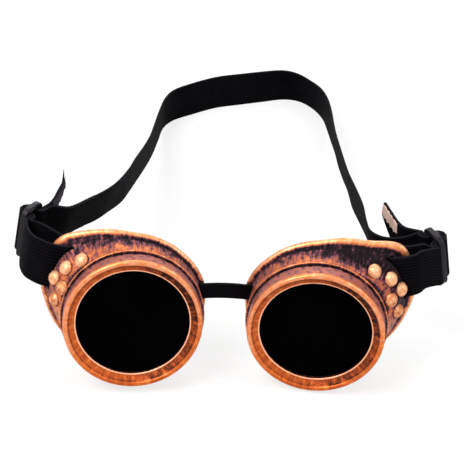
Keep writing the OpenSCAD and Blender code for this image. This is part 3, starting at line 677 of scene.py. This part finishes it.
# Webbing: a grid along its route, thickened and softened, with its UV map in decimetres.
def makeWebbing(name, stations, start=0.0, lows=None, highs=None, offset=0.0, thick=None, across=8, joins=()):
    distances = walked(stations)
    count = len(stations) - 1
    half = web["width"] / 2
    decimetre = 0.01  # per mm
    lows = lows or [-half] * (count + 1)
    highs = highs or [half] * (count + 1)

    def place(u, v):
        i = round(u * count)
        up = stations[i][1].normalized()
        along = stations[min(i + 1, count)][0] - stations[max(i - 1, 0)][0]
        level = up * (lows[i] + (highs[i] - lows[i]) * v)
        return (stations[i][0] + along.cross(up).normalized() * offset + level) * mm

    piece = addGrid(name, count, across, place)
    layer = piece.data.uv_layers.active
    for loop in layer.data:
        u, v = loop.uv
        i = round(u * count)
        loop.uv = ((start + distances[i]) * decimetre, (lows[i] + (highs[i] - lows[i]) * v + half) * decimetre)
    thickness = thick or web["thick"]
    applyModifier(piece, "Thickness", "SOLIDIFY", {"thickness": thickness * mm, "offset": 0, "use_even_offset": True})
    for end in joins:  # a cut inside the webbing keeps its sharp end, so that no groove shows there
        level = (start + distances[end]) * decimetre
        layer = piece.data.uv_layers.active
        caps = [face for face in piece.data.polygons
                if all(abs(layer.data[k].uv.x - level) < 1e-6 for k in face.loop_indices)]
        selectParts(piece, "VERT", {k for face in caps for k in face.vertices})
        bpy.ops.mesh.delete(type="ONLY_FACE")
        bpy.ops.object.mode_set(mode="OBJECT")
    applyModifier(piece, "Edges", "BEVEL", {"width": thickness * 0.3 * mm, "segments": 2, "limit_method": "ANGLE",
                                            "angle_limit": math.radians(50)})
    for end in joins:  # closes each sharp end again
        selectParts(piece, "VERT", set())
        bpy.ops.mesh.select_non_manifold(extend=False, use_wire=False, use_multi_face=False,
                                         use_non_contiguous=False)
        bpy.ops.object.mode_set(mode="OBJECT")
        middle, near = stations[end][0] * mm, 0.6 * web["width"] * mm
        rimmed = {v.index for v in piece.data.vertices if v.select and (v.co - middle).length < near}
        selectParts(piece, "VERT", rimmed)
        bpy.ops.mesh.edge_face_add()
        bpy.ops.object.mode_set(mode="OBJECT")
    smoothPiece(piece, 50)
    return piece


# Buckles: tri-glides with a soft rounded frame and a raised middle bar.
def makeBuckle(side):
    length, height = 2 * (windowLength + buckle["bar"]), windowHeight + 2 * buckle["rim"]
    bpy.ops.object.select_all(action="DESELECT")
    bpy.ops.mesh.primitive_cube_add(size=1, scale=(length * mm, height * mm, buckle["thick"] * mm))
    plate = bpy.context.active_object
    applyPlace()
    points = plate.data.vertices
    upright = {e.index for e in plate.data.edges
               if abs(points[e.vertices[0]].co.z - points[e.vertices[1]].co.z) > 0.5 * buckle["thick"] * mm}
    selectParts(plate, "EDGE", upright)
    bpy.ops.mesh.bevel(offset=buckle["corner"] * mm, segments=10, affect="EDGES")
    bpy.ops.object.mode_set(mode="OBJECT")
    bpy.ops.object.select_all(action="DESELECT")
    through = 4 * buckle["thick"] * mm
    bpy.ops.mesh.primitive_cube_add(size=1, scale=(2 * windowLength * mm, windowHeight * mm, through))
    window = bpy.context.active_object
    applyPlace()
    applyModifier(plate, "Window", "BOOLEAN", {"operation": "DIFFERENCE", "object": window, "solver": "EXACT"})
    bpy.data.objects.remove(window)
    applyModifier(plate, "Edges", "BEVEL", {"width": buckle["round"] * mm, "segments": 5, "limit_method": "ANGLE",
                                            "angle_limit": math.radians(40)})
    bpy.ops.object.select_all(action="DESELECT")
    barLength = (windowHeight + 2 * buckle["barEnd"]) * mm
    bpy.ops.mesh.primitive_cylinder_add(vertices=40, radius=buckle["mid"] * mm, depth=barLength,
                                        location=(0, 0, buckle["rise"] * mm), rotation=(math.pi / 2, 0, 0))
    bar = bpy.context.active_object
    applyPlace()
    applyModifier(bar, "Edges", "BEVEL", {"width": buckle["barRound"] * mm, "segments": 3, "limit_method": "ANGLE"})
    piece = joinPieces([plate, bar], side + "_tri_glide")
    front = cupVector(side, buckleVector(side, frontDir))
    face = cupVector(side, buckleVector(side, faceDir))
    placePiece(piece, axesAt(bucklePoint(side, (0, 0)), (front, buckleUp(side), face)))
    faceOutwards(piece)
    smoothPiece(piece, 40)
    return piece


# Tails with their scalloped edging tape, and a frayed corner. Sizes in mm.
edging = {"height": 6, "thick": 0.4, "scallop": 4, "share": 0.62, "slant": 0.4, "end": {"right": 3, "left": 6.5},
          "lowWave": 0.9, "highWave": 0.5, "glue": 0.02}
fray = {"strands": [(0.0, 6.2, 0.75), (0.12, 3.4, 0.4), (-0.1, 2.6, 0.4)], "tip": 0.06, "root": 2, "bend": 3}


def tailLow(side, back):
    return web["width"] / 2 - min(web["width"], edging["end"][side] + edging["slant"] * back)


def makeTail(side):
    stations = tailStations(side)
    distances = walked(stations)
    total, half = distances[-1], web["width"] / 2
    piece = makeWebbing(side + "_tail", stations, lows=[tailLow(side, total - d) for d in distances])
    taped = edging["share"] * web["tail"]
    run = [i for i, d in enumerate(distances) if total - d < taped and i < len(stations) - 1]
    fine = smoothStations([stations[i] for i in run], 3)
    start = distances[run[0]]
    fineDistances = [start + d for d in walked(fine)]
    waves = [abs(math.sin(math.pi * d / edging["scallop"])) for d in fineDistances]
    low = [max(half - edging["height"], tailLow(side, total - d)) + edging["lowWave"] * w
           for d, w in zip(fineDistances, waves)]
    high = [half - 0.1 - edging["highWave"] * w for w in waves]
    inward = -sides[side] * ((web["thick"] + edging["thick"]) / 2 + edging["glue"])
    tape = makeWebbing(side + "_edging_tape", fine, start, low, high, inward, edging["thick"], 4)
    return piece, tape, stations[-1]


def makeFray(side, end):  # a few loose threads that stand up from the tail's cut corner
    strands = []
    up = end[1].normalized()
    for k, (leanOut, reach, radius) in enumerate(fray["strands"]):
        length = reach + fray["root"]
        bpy.ops.object.select_all(action="DESELECT")
        bpy.ops.mesh.primitive_cone_add(vertices=10, radius1=radius * mm, radius2=fray["tip"] * mm, depth=length * mm)
        strand = bpy.context.active_object
        editAll(strand)
        bpy.ops.mesh.subdivide(number_cuts=3)
        bpy.ops.object.mode_set(mode="OBJECT")
        for vertex in strand.data.vertices:
            rise = vertex.co.z / (length * mm) + 0.5
            vertex.co.x += fray["bend"] * mm * leanOut * rise ** 2
        foot = end[0] + up * (web["width"] / 2 - fray["root"]) + Vector((0.3 * k - 0.3, -0.5, 0))
        aim = (up + Vector((-sides[side] * 0.02, 0.1, 0))).normalized()
        turn = aim.to_track_quat("Z", "Y").to_matrix().to_4x4()
        placePiece(strand, Matrix.Translation((foot + aim * length / 2) * mm) @ turn)
        strands.append(strand)
    piece = joinPieces(strands, side + "_tail_threads")
    smoothPiece(piece, 60)
    return piece


# Nose strip with its stop beads, in mm. Its slot in the cup is cut with the eyecup.
strip = {"height": 7, "thick": 1.6, "arch": 0.8, "bead": 2.5, "beadGap": 0.5, "beadRound": 0.8, "up": 7, "back": 14.6,
         "slotWidth": 4.6, "slotClear": 0.5, "wallShare": 0.65}


def noseWall(side, inset, up):
    r = wallRadius(side, 180, strip["wallShare"]) - inset
    return math.sqrt(r * r - up * up)


def makeStrip():
    half = strip["height"] / 2
    holes, stops = {}, {}
    for s in sides:
        holes[s] = cupPoint(s, (-noseWall(s, cup["wall"] / 2, strip["up"]), strip["up"], -strip["back"]))
        inner = noseWall(s, cup["wall"], strip["up"] + half) - strip["beadGap"] - strip["bead"]
        stops[s] = cupPoint(s, (-inner, strip["up"], -strip["back"]))
    span = []
    for k in range(33):
        t = k / 32
        rise = Vector((0, 0, strip["arch"] * 4 * t * (1 - t)))
        span.append(holes["right"] + (holes["left"] - holes["right"]) * t + rise)
    stations = [(p, Vector((0, 0, 1))) for p in [stops["right"]] + span + [stops["left"]]]
    count = len(stations)
    parts = [makeWebbing("nose_strip", stations, lows=[-half] * count, highs=[half] * count, thick=strip["thick"])]
    for s in sides:
        bpy.ops.object.select_all(action="DESELECT")
        bpy.ops.mesh.primitive_cylinder_add(vertices=40, radius=strip["bead"] * mm, depth=strip["height"] * mm,
                                            location=stops[s] * mm)
        bead = bpy.context.active_object
        applyPlace()
        applyModifier(bead, "Edges", "BEVEL", {"width": strip["beadRound"] * mm, "segments": 4,
                                               "limit_method": "ANGLE"})
        parts.append(bead)
    piece = joinPieces(parts, "nose_strip")
    smoothPiece(piece, 40)
    return piece


# Copper finishes. Pattern scales are per mm: cup blotches are about 3 mm across and brush marks 1 mm, drawn coarser
# than real ones so that they show. Marks fade toward "polished" where the wash is rubbed off.
cupLook = {"stretch": (1, 1, 0.2), "blotch": 0.3, "streak": 1.1, "blotchAmount": 0.42, "streakAmount": 0.38,
           "grain": 3.2, "grainAmount": 0.16, "polished": 0.5, "metal": 0.8,
           "colours": [(0.0, "#0c0507"), (0.16, "#1d0f13"), (0.33, "#503140"), (0.5, "#92524c"), (0.66, "#c46a3a"),
                       (0.84, "#e08a56"), (1.0, "#efb088")],
           "tarnish": [(0.0, "#0e0707"), (0.2, "#3a1d1c"), (0.34, "#7c4c4e"), (0.45, "#a86c6a"), (0.58, "#ae6453"),
                       (0.72, "#bf683c"), (1.0, "#eda070")],
           "rough": [(0.1, 0.62), (0.55, 0.5), (1.0, 0.38)], "relief": 0.35, "reliefDepth": 0.12, "shine": 0.12}
studLook = dict(cupLook, blotch=0.6, blotchAmount=0.5, streakAmount=0.3, metal=0.6, polished=0.8,
                colours=[(0.0, "#0a0608"), (0.3, "#50303a"), (0.6, "#b96c42"), (0.82, "#da9264"), (1.0, "#efb78d")],
                rough=[(0.1, 0.65), (1.0, 0.5)])
ringLook = dict(cupLook, stretch=(0.3, 0.3, 1.6), blotch=0.5, blotchAmount=0.46, streakAmount=0.28, polished=0.16,
                colours=[(0.0, "#0e0707"), (0.2, "#2a110a"), (0.36, "#5f2b16"), (0.52, "#974320"),
                         (0.68, "#b85426"), (0.86, "#dd773a"), (1.0, "#fcbb98")],
                rough=[(0.1, 0.6), (0.55, 0.48), (1.0, 0.34)])


def makeCopper(name, look):
    # Copper-plated moulded plastic, dipped in black and rubbed back by hand: bright copper on every high edge,
    # purple-brown film on the flats and black left in the grooves, with short brush marks across the wall.
    material, tree, shader = newMaterial(name)
    rubAndShade = addNode(tree, "ShaderNodeAttribute", {"attribute_name": "rubAndShade"})
    film = addNode(tree, "ShaderNodeAttribute", {"attribute_name": "film"})
    brush = addNode(tree, "ShaderNodeAttribute", {"attribute_name": "brush"})
    place = brush.outputs["Vector"]
    stretched = addNode(tree, "ShaderNodeMapping", links={"Vector": place, "Scale": look["stretch"]})
    blotch = addNode(tree, "ShaderNodeTexNoise", links={"Vector": place, "Scale": look["blotch"], "Detail": 6,
                                                       "Roughness": 0.62, "Lacunarity": 2.17})
    streak = addNode(tree, "ShaderNodeTexNoise", links={"Vector": stretched.outputs["Vector"], "Detail": 4,
                                                       "Scale": look["streak"], "Roughness": 0.6,
                                                       "Lacunarity": 2.17})
    grain = addNode(tree, "ShaderNodeTexNoise", links={"Vector": place, "Scale": look["grain"], "Detail": 3})
    amounts = ((blotch, look["blotchAmount"]), (streak, look["streakAmount"]), (grain, look["grainAmount"]))
    parts = [addNode(tree, "ShaderNodeMapRange", links={"Value": noise.outputs["Fac"], "From Min": 0.34,
                                                       "From Max": 0.66, "To Min": -amount / 2,
                                                       "To Max": amount / 2}) for noise, amount in amounts]
    both = addNode(tree, "ShaderNodeMath", {"operation": "ADD"}, {0: parts[0].outputs[0], 1: parts[1].outputs[0]})
    marks = addNode(tree, "ShaderNodeMath", {"operation": "ADD"}, {0: both.outputs[0], 1: parts[2].outputs[0]})
    fade = addNode(tree, "ShaderNodeMapRange", links={"Value": rubAndShade.outputs["Fac"], "From Min": 0.45, "From Max": 0.9,
                                                     "To Min": 1.0, "To Max": look["polished"]})
    faded = addNode(tree, "ShaderNodeMath", {"operation": "MULTIPLY"},
                    {0: marks.outputs[0], 1: fade.outputs["Result"]})
    marked = addNode(tree, "ShaderNodeMath", {"operation": "ADD", "use_clamp": True},
                     {0: rubAndShade.outputs["Fac"], 1: faded.outputs[0]})
    # The rubbed-off wash, with the painted shade on the rings' beads.
    wornAndShade = marked.outputs[0]
    bare = addNode(tree, "ShaderNodeValToRGB", links={"Fac": wornAndShade}, stops=look["colours"])
    tarnished = addNode(tree, "ShaderNodeValToRGB", links={"Fac": wornAndShade}, stops=look["tarnish"])
    colour = addNode(tree, "ShaderNodeMix", {"data_type": "RGBA"},  # sockets 6 and 7 are its two colours
                     {0: film.outputs["Fac"], 6: bare.outputs["Color"], 7: tarnished.outputs["Color"]})
    metal = addNode(tree, "ShaderNodeValToRGB", links={"Fac": wornAndShade}, stops=[(0.1, 0.25), (0.7, look["metal"])])
    rough = addNode(tree, "ShaderNodeValToRGB", links={"Fac": wornAndShade}, stops=look["rough"])
    bump = addNode(tree, "ShaderNodeBump", links={"Height": wornAndShade, "Strength": look["relief"],
                                                 "Distance": look["reliefDepth"] * mm})
    tree.links.new(colour.outputs[2], shader.inputs["Base Color"])
    tree.links.new(metal.outputs["Color"], shader.inputs["Metallic"])
    tree.links.new(rough.outputs["Color"], shader.inputs["Roughness"])
    tree.links.new(bump.outputs["Normal"], shader.inputs["Normal"])
    shader.inputs["Specular IOR Level"].default_value = look["shine"]
    return material


cupCopper = makeCopper("antiqued_copper_plate", cupLook)
studCopper = makeCopper("rubbed_copper_studs", studLook)
ringCopper = makeCopper("brushed_copper_plate", ringLook)

# Cloth looks: ribs and picks are the spacings of its threads in mm.
# The webbing's edge colour is a painted highlight along its long edges.
webbingLook = {"rib": web["ribs"], "pick": web["pick"], "relief": 0.8, "weave": 0.3, "sheen": 0.006,
               "edge": "#1a191e", "specular": 0.03, "colours": [(0.2, "#010102"), (0.8, "#0c0a0e")]}
tapeLook = {"rib": 0.9, "pick": 0.8, "relief": 0.5, "weave": 0.16, "sheen": 0.1, "edge": "#ecd0c0", "specular": 0.2,
            "colours": [(0.25, "#c6a095"), (0.75, "#f0cfc1")]}
# A darker copy of the tan tape, as painted shade, for the tape on the right side.
shadedTapeLook = dict(tapeLook, edge="#0c090c", sheen=0.03, colours=[(0.25, "#241c24"), (0.75, "#41363f")])


def makeFabric(name, look):
    # Knitted polyester elastic: matt and near-black, with fine ribs along its length, and a band of the edge colour
    # along each long edge, which is a painted highlight on the webbing.
    material, tree, shader = newMaterial(name)
    uv = addNode(tree, "ShaderNodeUVMap")
    split = addNode(tree, "ShaderNodeSeparateXYZ", links={"Vector": uv.outputs["UV"]})
    waveEachMm = 100 * 2 * math.pi  # the UV map is in decimetres
    half = web["width"] / 200
    across = addNode(tree, "ShaderNodeMath", {"operation": "MULTIPLY"},
                     {0: split.outputs["Y"], 1: waveEachMm / look["rib"]})
    ribs = addNode(tree, "ShaderNodeMath", {"operation": "SINE"}, {0: across.outputs[0]})
    along = addNode(tree, "ShaderNodeMath", {"operation": "MULTIPLY"},
                    {0: split.outputs["X"], 1: waveEachMm / look["pick"]})
    picks = addNode(tree, "ShaderNodeMath", {"operation": "SINE"}, {0: along.outputs[0]})
    woven = addNode(tree, "ShaderNodeMath", {"operation": "MULTIPLY_ADD"},
                    {0: picks.outputs[0], 1: 0.35, 2: ribs.outputs[0]})
    threads = addNode(tree, "ShaderNodeTexNoise", links={"Vector": uv.outputs["UV"], "Scale": 260, "Detail": 3})
    height = addNode(tree, "ShaderNodeMath", {"operation": "MULTIPLY_ADD"},
                     {0: threads.outputs["Fac"], 1: 0.8, 2: woven.outputs[0]})
    cloud = addNode(tree, "ShaderNodeTexNoise", links={"Vector": uv.outputs["UV"], "Scale": 9, "Detail": 4})
    tone = addNode(tree, "ShaderNodeMath", {"operation": "MULTIPLY_ADD", "use_clamp": True},
                   {0: woven.outputs[0], 1: look["weave"], 2: cloud.outputs["Fac"]})
    colour = addNode(tree, "ShaderNodeValToRGB", links={"Fac": tone.outputs[0]}, stops=look["colours"])
    middle = addNode(tree, "ShaderNodeMath", {"operation": "SUBTRACT"}, {0: split.outputs["Y"], 1: half})
    fromMiddle = addNode(tree, "ShaderNodeMath", {"operation": "ABSOLUTE"}, {0: middle.outputs[0]})
    edgeBand = addNode(tree, "ShaderNodeMapRange", links={"Value": fromMiddle.outputs[0], "From Min": half - 0.0045,
                                                         "From Max": half - 0.001})
    mixed = addNode(tree, "ShaderNodeMix", {"data_type": "RGBA"},
                    {0: edgeBand.outputs["Result"], 6: colour.outputs["Color"], 7: hexColour(look["edge"])})
    bump = addNode(tree, "ShaderNodeBump", links={"Height": height.outputs[0], "Strength": look["relief"],
                                                 "Distance": 0.12 * mm})
    tree.links.new(mixed.outputs[2], shader.inputs["Base Color"])
    tree.links.new(bump.outputs["Normal"], shader.inputs["Normal"])
    shader.inputs["Roughness"].default_value = 0.82
    shader.inputs["Specular IOR Level"].default_value = look["specular"]
    shader.inputs["Sheen Weight"].default_value = look["sheen"]
    shader.inputs["Sheen Roughness"].default_value = 0.45
    shader.inputs["Sheen Tint"].default_value = hexColour("#8a7f92")
    return material


webbingCloth = makeFabric("black_elastic_webbing", webbingLook)
tapeCloth = makeFabric("tan_folded_tape", tapeLook)
shadedTapeCloth = makeFabric("shaded_tan_tape", shadedTapeLook)

# Black plastics: the grain is per metre, so 2600 is about 0.4 mm and 1800 about 0.6 mm, drawn coarser than the
# fine grain of a moulding so that it shows.
nylonLook = {"grain": 2600, "specular": 0.2, "rough": [(0.3, 0.5), (0.7, 0.38)],
             "colours": [(0.3, "#0a070b"), (0.7, "#141017"), (1.0, "#352b3b")]}
vinylLook = {"grain": 1800, "specular": 0.03, "rough": [(0.3, 0.62), (0.7, 0.5)],
             "colours": [(0.3, "#020203"), (0.7, "#060508"), (1.0, "#121016")]}


def makePlastic(name, look):
    # Moulded black plastic or rubber: dull and faintly grained, with a painted sheen that makes it a little paler on
    # its sharp edges, and a little shinier in patches.
    material, tree, shader = newMaterial(name)
    place = addNode(tree, "ShaderNodeTexCoord").outputs["Object"]
    grain = addNode(tree, "ShaderNodeTexNoise", links={"Vector": place, "Scale": look["grain"], "Detail": 4})
    cloud = addNode(tree, "ShaderNodeTexNoise", links={"Vector": place, "Scale": 120, "Detail": 5})  # 8 mm patches
    shape = addNode(tree, "ShaderNodeNewGeometry")
    # Painted sheen: sharp edges are drawn paler.
    edge = addNode(tree, "ShaderNodeMapRange", links={"Value": shape.outputs["Pointiness"], "From Min": 0.5,
                                                     "From Max": 0.62})
    tone = addNode(tree, "ShaderNodeMath", {"operation": "MULTIPLY_ADD", "use_clamp": True},
                   {0: edge.outputs["Result"], 1: 0.55, 2: cloud.outputs["Fac"]})
    colour = addNode(tree, "ShaderNodeValToRGB", links={"Fac": tone.outputs[0]}, stops=look["colours"])
    rough = addNode(tree, "ShaderNodeValToRGB", links={"Fac": cloud.outputs["Fac"]}, stops=look["rough"])
    bump = addNode(tree, "ShaderNodeBump", links={"Height": grain.outputs["Fac"], "Strength": 0.25,
                                                 "Distance": 0.05 * mm})
    tree.links.new(colour.outputs["Color"], shader.inputs["Base Color"])
    tree.links.new(rough.outputs["Color"], shader.inputs["Roughness"])
    tree.links.new(bump.outputs["Normal"], shader.inputs["Normal"])
    shader.inputs["Specular IOR Level"].default_value = look["specular"]
    return material


bucklePlastic = makePlastic("black_moulded_nylon", nylonLook)
stripRubber = makePlastic("black_soft_vinyl", vinylLook)

darkLook = {"colours": [(0.3, "#000000"), (0.7, "#010101")], "rough": [(0.3, 0.06), (0.7, 0.12)], "clear": 0.0,
            "specular": 0.004}
clearLook = {"colours": [(0.3, "#e9f0f2"), (0.7, "#f4f8f9")], "rough": [(0.3, 0.02), (0.7, 0.05)], "clear": 1.0,
             "specular": 0.5}


def makeGlass(name, look):
    # Lens glass: the dark one is welding-black and swallows nearly all light, the inner one is clear.
    material, tree, shader = newMaterial(name)
    place = addNode(tree, "ShaderNodeTexCoord").outputs["Object"]
    cloud = addNode(tree, "ShaderNodeTexNoise", links={"Vector": place, "Scale": 60, "Detail": 3})  # 16 mm smears
    colour = addNode(tree, "ShaderNodeValToRGB", links={"Fac": cloud.outputs["Fac"]}, stops=look["colours"])
    smear = addNode(tree, "ShaderNodeValToRGB", links={"Fac": cloud.outputs["Fac"]}, stops=look["rough"])
    tree.links.new(colour.outputs["Color"], shader.inputs["Base Color"])
    tree.links.new(smear.outputs["Color"], shader.inputs["Roughness"])
    shader.inputs["Transmission Weight"].default_value = look["clear"]
    shader.inputs["Specular IOR Level"].default_value = look["specular"]
    shader.inputs["IOR"].default_value = 1.52
    return material


darkGlass = makeGlass("black_lens_glass", darkLook)
clearGlass = makeGlass("clear_lens_glass", clearLook)
print("materials made")


def finishPiece(piece, material, nodes, body=None, blend=None):  # puts a piece on its CAD body, or, given a blend, bakes its place into its mesh
    piece.data.materials.clear()
    piece.data.materials.append(material)
    if blend:
        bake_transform(piece)
    else:
        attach(piece, body)
    if nodes:
        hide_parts(*nodes)


def recolour(node, material):
    for index in range(len(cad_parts[node].data.materials)):
        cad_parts[node].material_slots[index].material = material


for side in sides:
    finishPiece(makeEyecup(side), cupCopper, [side + "_eyecup"], side + "_cup")
    finishPiece(makeStuds(side), studCopper, [], side + "_cup")
    finishPiece(makeRing(side), ringCopper, [side + "_lens_ring"], side + "_ring")
    recolour(side + "_dark_lens", darkGlass)
    recolour(side + "_clear_lens", clearGlass)
    recolour(side + "_lens_gasket", stripRubber)
print("cups, studs, rings and lenses made")

for side in sides:
    onBuckle = side + "_buckle"
    finishPiece(makeBuckle(side), bucklePlastic, [side + "_buckle"], onBuckle)
    tail, tape, tailEnd = makeTail(side)
    finishPiece(tail, webbingCloth, [side + "_strap_tail"], onBuckle)
    # The right side's tape takes the darker copy of the tan tape, as painted shade.
    tapeMaterial = tapeCloth if side == "left" else shadedTapeCloth
    finishPiece(tape, tapeMaterial, [side + "_strap_edging"], onBuckle)
    slotPlace = strapPoint(side, (slotOut(side), slotMid))
    toBuckle = bucklePoint(side, (0, 0)) - slotPlace
    loop = makeWebbing(side + "_loop", loopStations(side))
    blend = (side + "_cup", onBuckle, (slotPlace + toBuckle * 0.15) * mm, (slotPlace + toBuckle * 0.8) * mm)
    finishPiece(loop, webbingCloth, [side + "_strap_loop"], blend=blend)
    if side == "right":
        finishPiece(makeFray(side, tailEnd), webbingCloth, [], onBuckle)
finishPiece(makeStrip(), stripRubber, ["nose_bridge"], "bridge")
print("buckles, tails, loops and nose strip made")

# The head strap is cut into five lengths. The middle one goes on the bridge; each other one is listed with the two
# bodies that it joins, and its place is baked into its mesh.
strapCuts = {"end": 36, "side": 190, "blendRow": 30}  # mm from each buckle, and a station
head = headStations()
headDistances = walked(head)
whole = headDistances[-1]
wanted = (strapCuts["end"], strapCuts["side"], whole - strapCuts["side"], whole - strapCuts["end"])
joins = [0] + [nearest(headDistances, d) for d in wanted] + [whole]
lengths = ["right_strap_end", "right_strap_side", "strap_back", "left_strap_side", "left_strap_end"]
for index, name in enumerate(lengths):
    run, startDistance = cutStations(head, joins[index], joins[index + 1])
    sharpEnds = [end for end, cut in ((0, index > 0), (-1, index < len(lengths) - 1)) if cut]
    piece = makeWebbing(name, run, startDistance, joins=sharpEnds)
    first, last = run[0][0] * mm, run[-1][0] * mm
    row = strapCuts["blendRow"]
    blend = None
    if name == "right_strap_end":
        blend = ("right_cup", "right_buckle", last, run[row][0] * mm)
    elif name == "left_strap_end":
        blend = ("left_cup", "left_buckle", first, run[-row][0] * mm)
    elif name == "right_strap_side":
        blend = ("bridge", "right_cup", last, first)
    elif name == "left_strap_side":
        blend = ("bridge", "left_cup", first, last)
    nodes = ["head_strap"] if index == 0 else []
    finishPiece(piece, webbingCloth, nodes, "bridge", blend)
print("head strap made,", round(whole), "mm long")

# Stage, light and camera. A lamp is [place in metres, size, power].
studio = {"floor": "#f6f6f5", "tooth": "#fbfbfa", "world": 0.58, "lift": 0.75, "aim": (0, -0.08, 0.02),
          "lamps": [((-0.6, -0.6, 1.05), 0.7, 13.0), ((0.75, -0.5, 0.8), 0.6, 3.0), ((0.1, 0.7, 1.0), 0.9, 5.0)]}
pureWhite = (1, 1, 1, 1)


def addSeen(tree):  # 1 for every ray that should meet a plain white background
    path = addNode(tree, "ShaderNodeLightPath")
    seen = addNode(tree, "ShaderNodeMath", {"operation": "ADD", "use_clamp": True},
                   {0: path.outputs["Is Camera Ray"], 1: path.outputs["Is Glossy Ray"]})
    seenAll = addNode(tree, "ShaderNodeMath", {"operation": "ADD", "use_clamp": True},
                      {0: seen.outputs[0], 1: path.outputs["Is Transmission Ray"]})
    return seenAll.outputs[0]


bpy.ops.object.select_all(action="DESELECT")
bpy.ops.mesh.primitive_plane_add(size=6)
floor = bpy.context.active_object
floor.name = "floor"
# Matt white paper: the lift makes it white to the eye, and what is left of its shading is the object's shadow.
floorPaint, tree, shader = newMaterial("matt_white_paper")
place = addNode(tree, "ShaderNodeTexCoord")
tooth = addNode(tree, "ShaderNodeTexNoise", links={"Vector": place.outputs["Object"], "Scale": 900})
shade = addNode(tree, "ShaderNodeValToRGB", links={"Fac": tooth.outputs["Fac"]},
                stops=[(0.3, studio["floor"]), (0.7, studio["tooth"])])
tree.links.new(shade.outputs["Color"], shader.inputs["Base Color"])
shader.inputs["Roughness"].default_value = 1.0
shader.inputs["Specular IOR Level"].default_value = 0.0
lift = addNode(tree, "ShaderNodeMath", {"operation": "MULTIPLY"}, {0: addSeen(tree), 1: studio["lift"]})
glow = addNode(tree, "ShaderNodeEmission", links={"Color": pureWhite, "Strength": 1.0})
mixed = addNode(tree, "ShaderNodeMixShader",
                links={0: lift.outputs[0], 1: shader.outputs["BSDF"], 2: glow.outputs["Emission"]})
surface = [n for n in tree.nodes if n.type == "OUTPUT_MATERIAL"][0].inputs["Surface"]
tree.links.new(mixed.outputs["Shader"], surface)
floor.data.materials.append(floorPaint)

world = bpy.data.worlds.new("pale_studio")
bpy.context.scene.world = world
world.use_nodes = True
tree = world.node_tree
tree.nodes.clear()
soft = addNode(tree, "ShaderNodeBackground", links={"Color": pureWhite, "Strength": studio["world"]})
white = addNode(tree, "ShaderNodeBackground", links={"Color": pureWhite, "Strength": 1.0})
mixed = addNode(tree, "ShaderNodeMixShader",
                links={0: addSeen(tree), 1: soft.outputs["Background"], 2: white.outputs["Background"]})
addNode(tree, "ShaderNodeOutputWorld", links={"Surface": mixed.outputs["Shader"]})

for index, (spot, size, power) in enumerate(studio["lamps"]):
    lamp = bpy.data.objects.new("softbox_%d" % index, bpy.data.lights.new("softbox_%d" % index, "AREA"))
    lamp.data.shape = "DISK"
    lamp.data.size = size
    lamp.data.energy = power
    lamp.location = spot
    lamp.rotation_euler = (Vector(studio["aim"]) - Vector(spot)).to_track_quat("-Z", "Y").to_euler()
    bpy.context.scene.collection.objects.link(lamp)

# The camera fitted to the photograph: focal length and frame in pixels, angles in degrees, place in mm.
view = {"focal": 1450, "frame": 474, "elevation": 30, "azimuth": 4.41, "roll": 3.9, "place": (-38.75, -632.7, 357.1)}
elevation, azimuth, roll = view["elevation"], view["azimuth"], view["roll"]
forward = Vector((sinDeg(azimuth) * cosDeg(elevation), cosDeg(azimuth) * cosDeg(elevation), -sinDeg(elevation)))
levelRight = Vector((cosDeg(azimuth), -sinDeg(azimuth), 0))
levelUp = levelRight.cross(forward)
cameraRight = levelRight * cosDeg(roll) + levelUp * sinDeg(roll)
cameraUp = levelUp * cosDeg(roll) - levelRight * sinDeg(roll)
cameraData = bpy.data.cameras.new("photo_camera")
cameraData.sensor_width = 36
cameraData.lens = 36 * view["focal"] / view["frame"]
cameraData.clip_start = 0.01
camera = bpy.data.objects.new("photo_camera", cameraData)
bpy.context.scene.collection.objects.link(camera)
camera.matrix_world = axesAt(view["place"], (cameraRight, cameraUp, -forward))
bpy.context.scene.camera = camera
bpy.context.scene.view_settings.view_transform = "Standard"
print("stage, light and camera set")
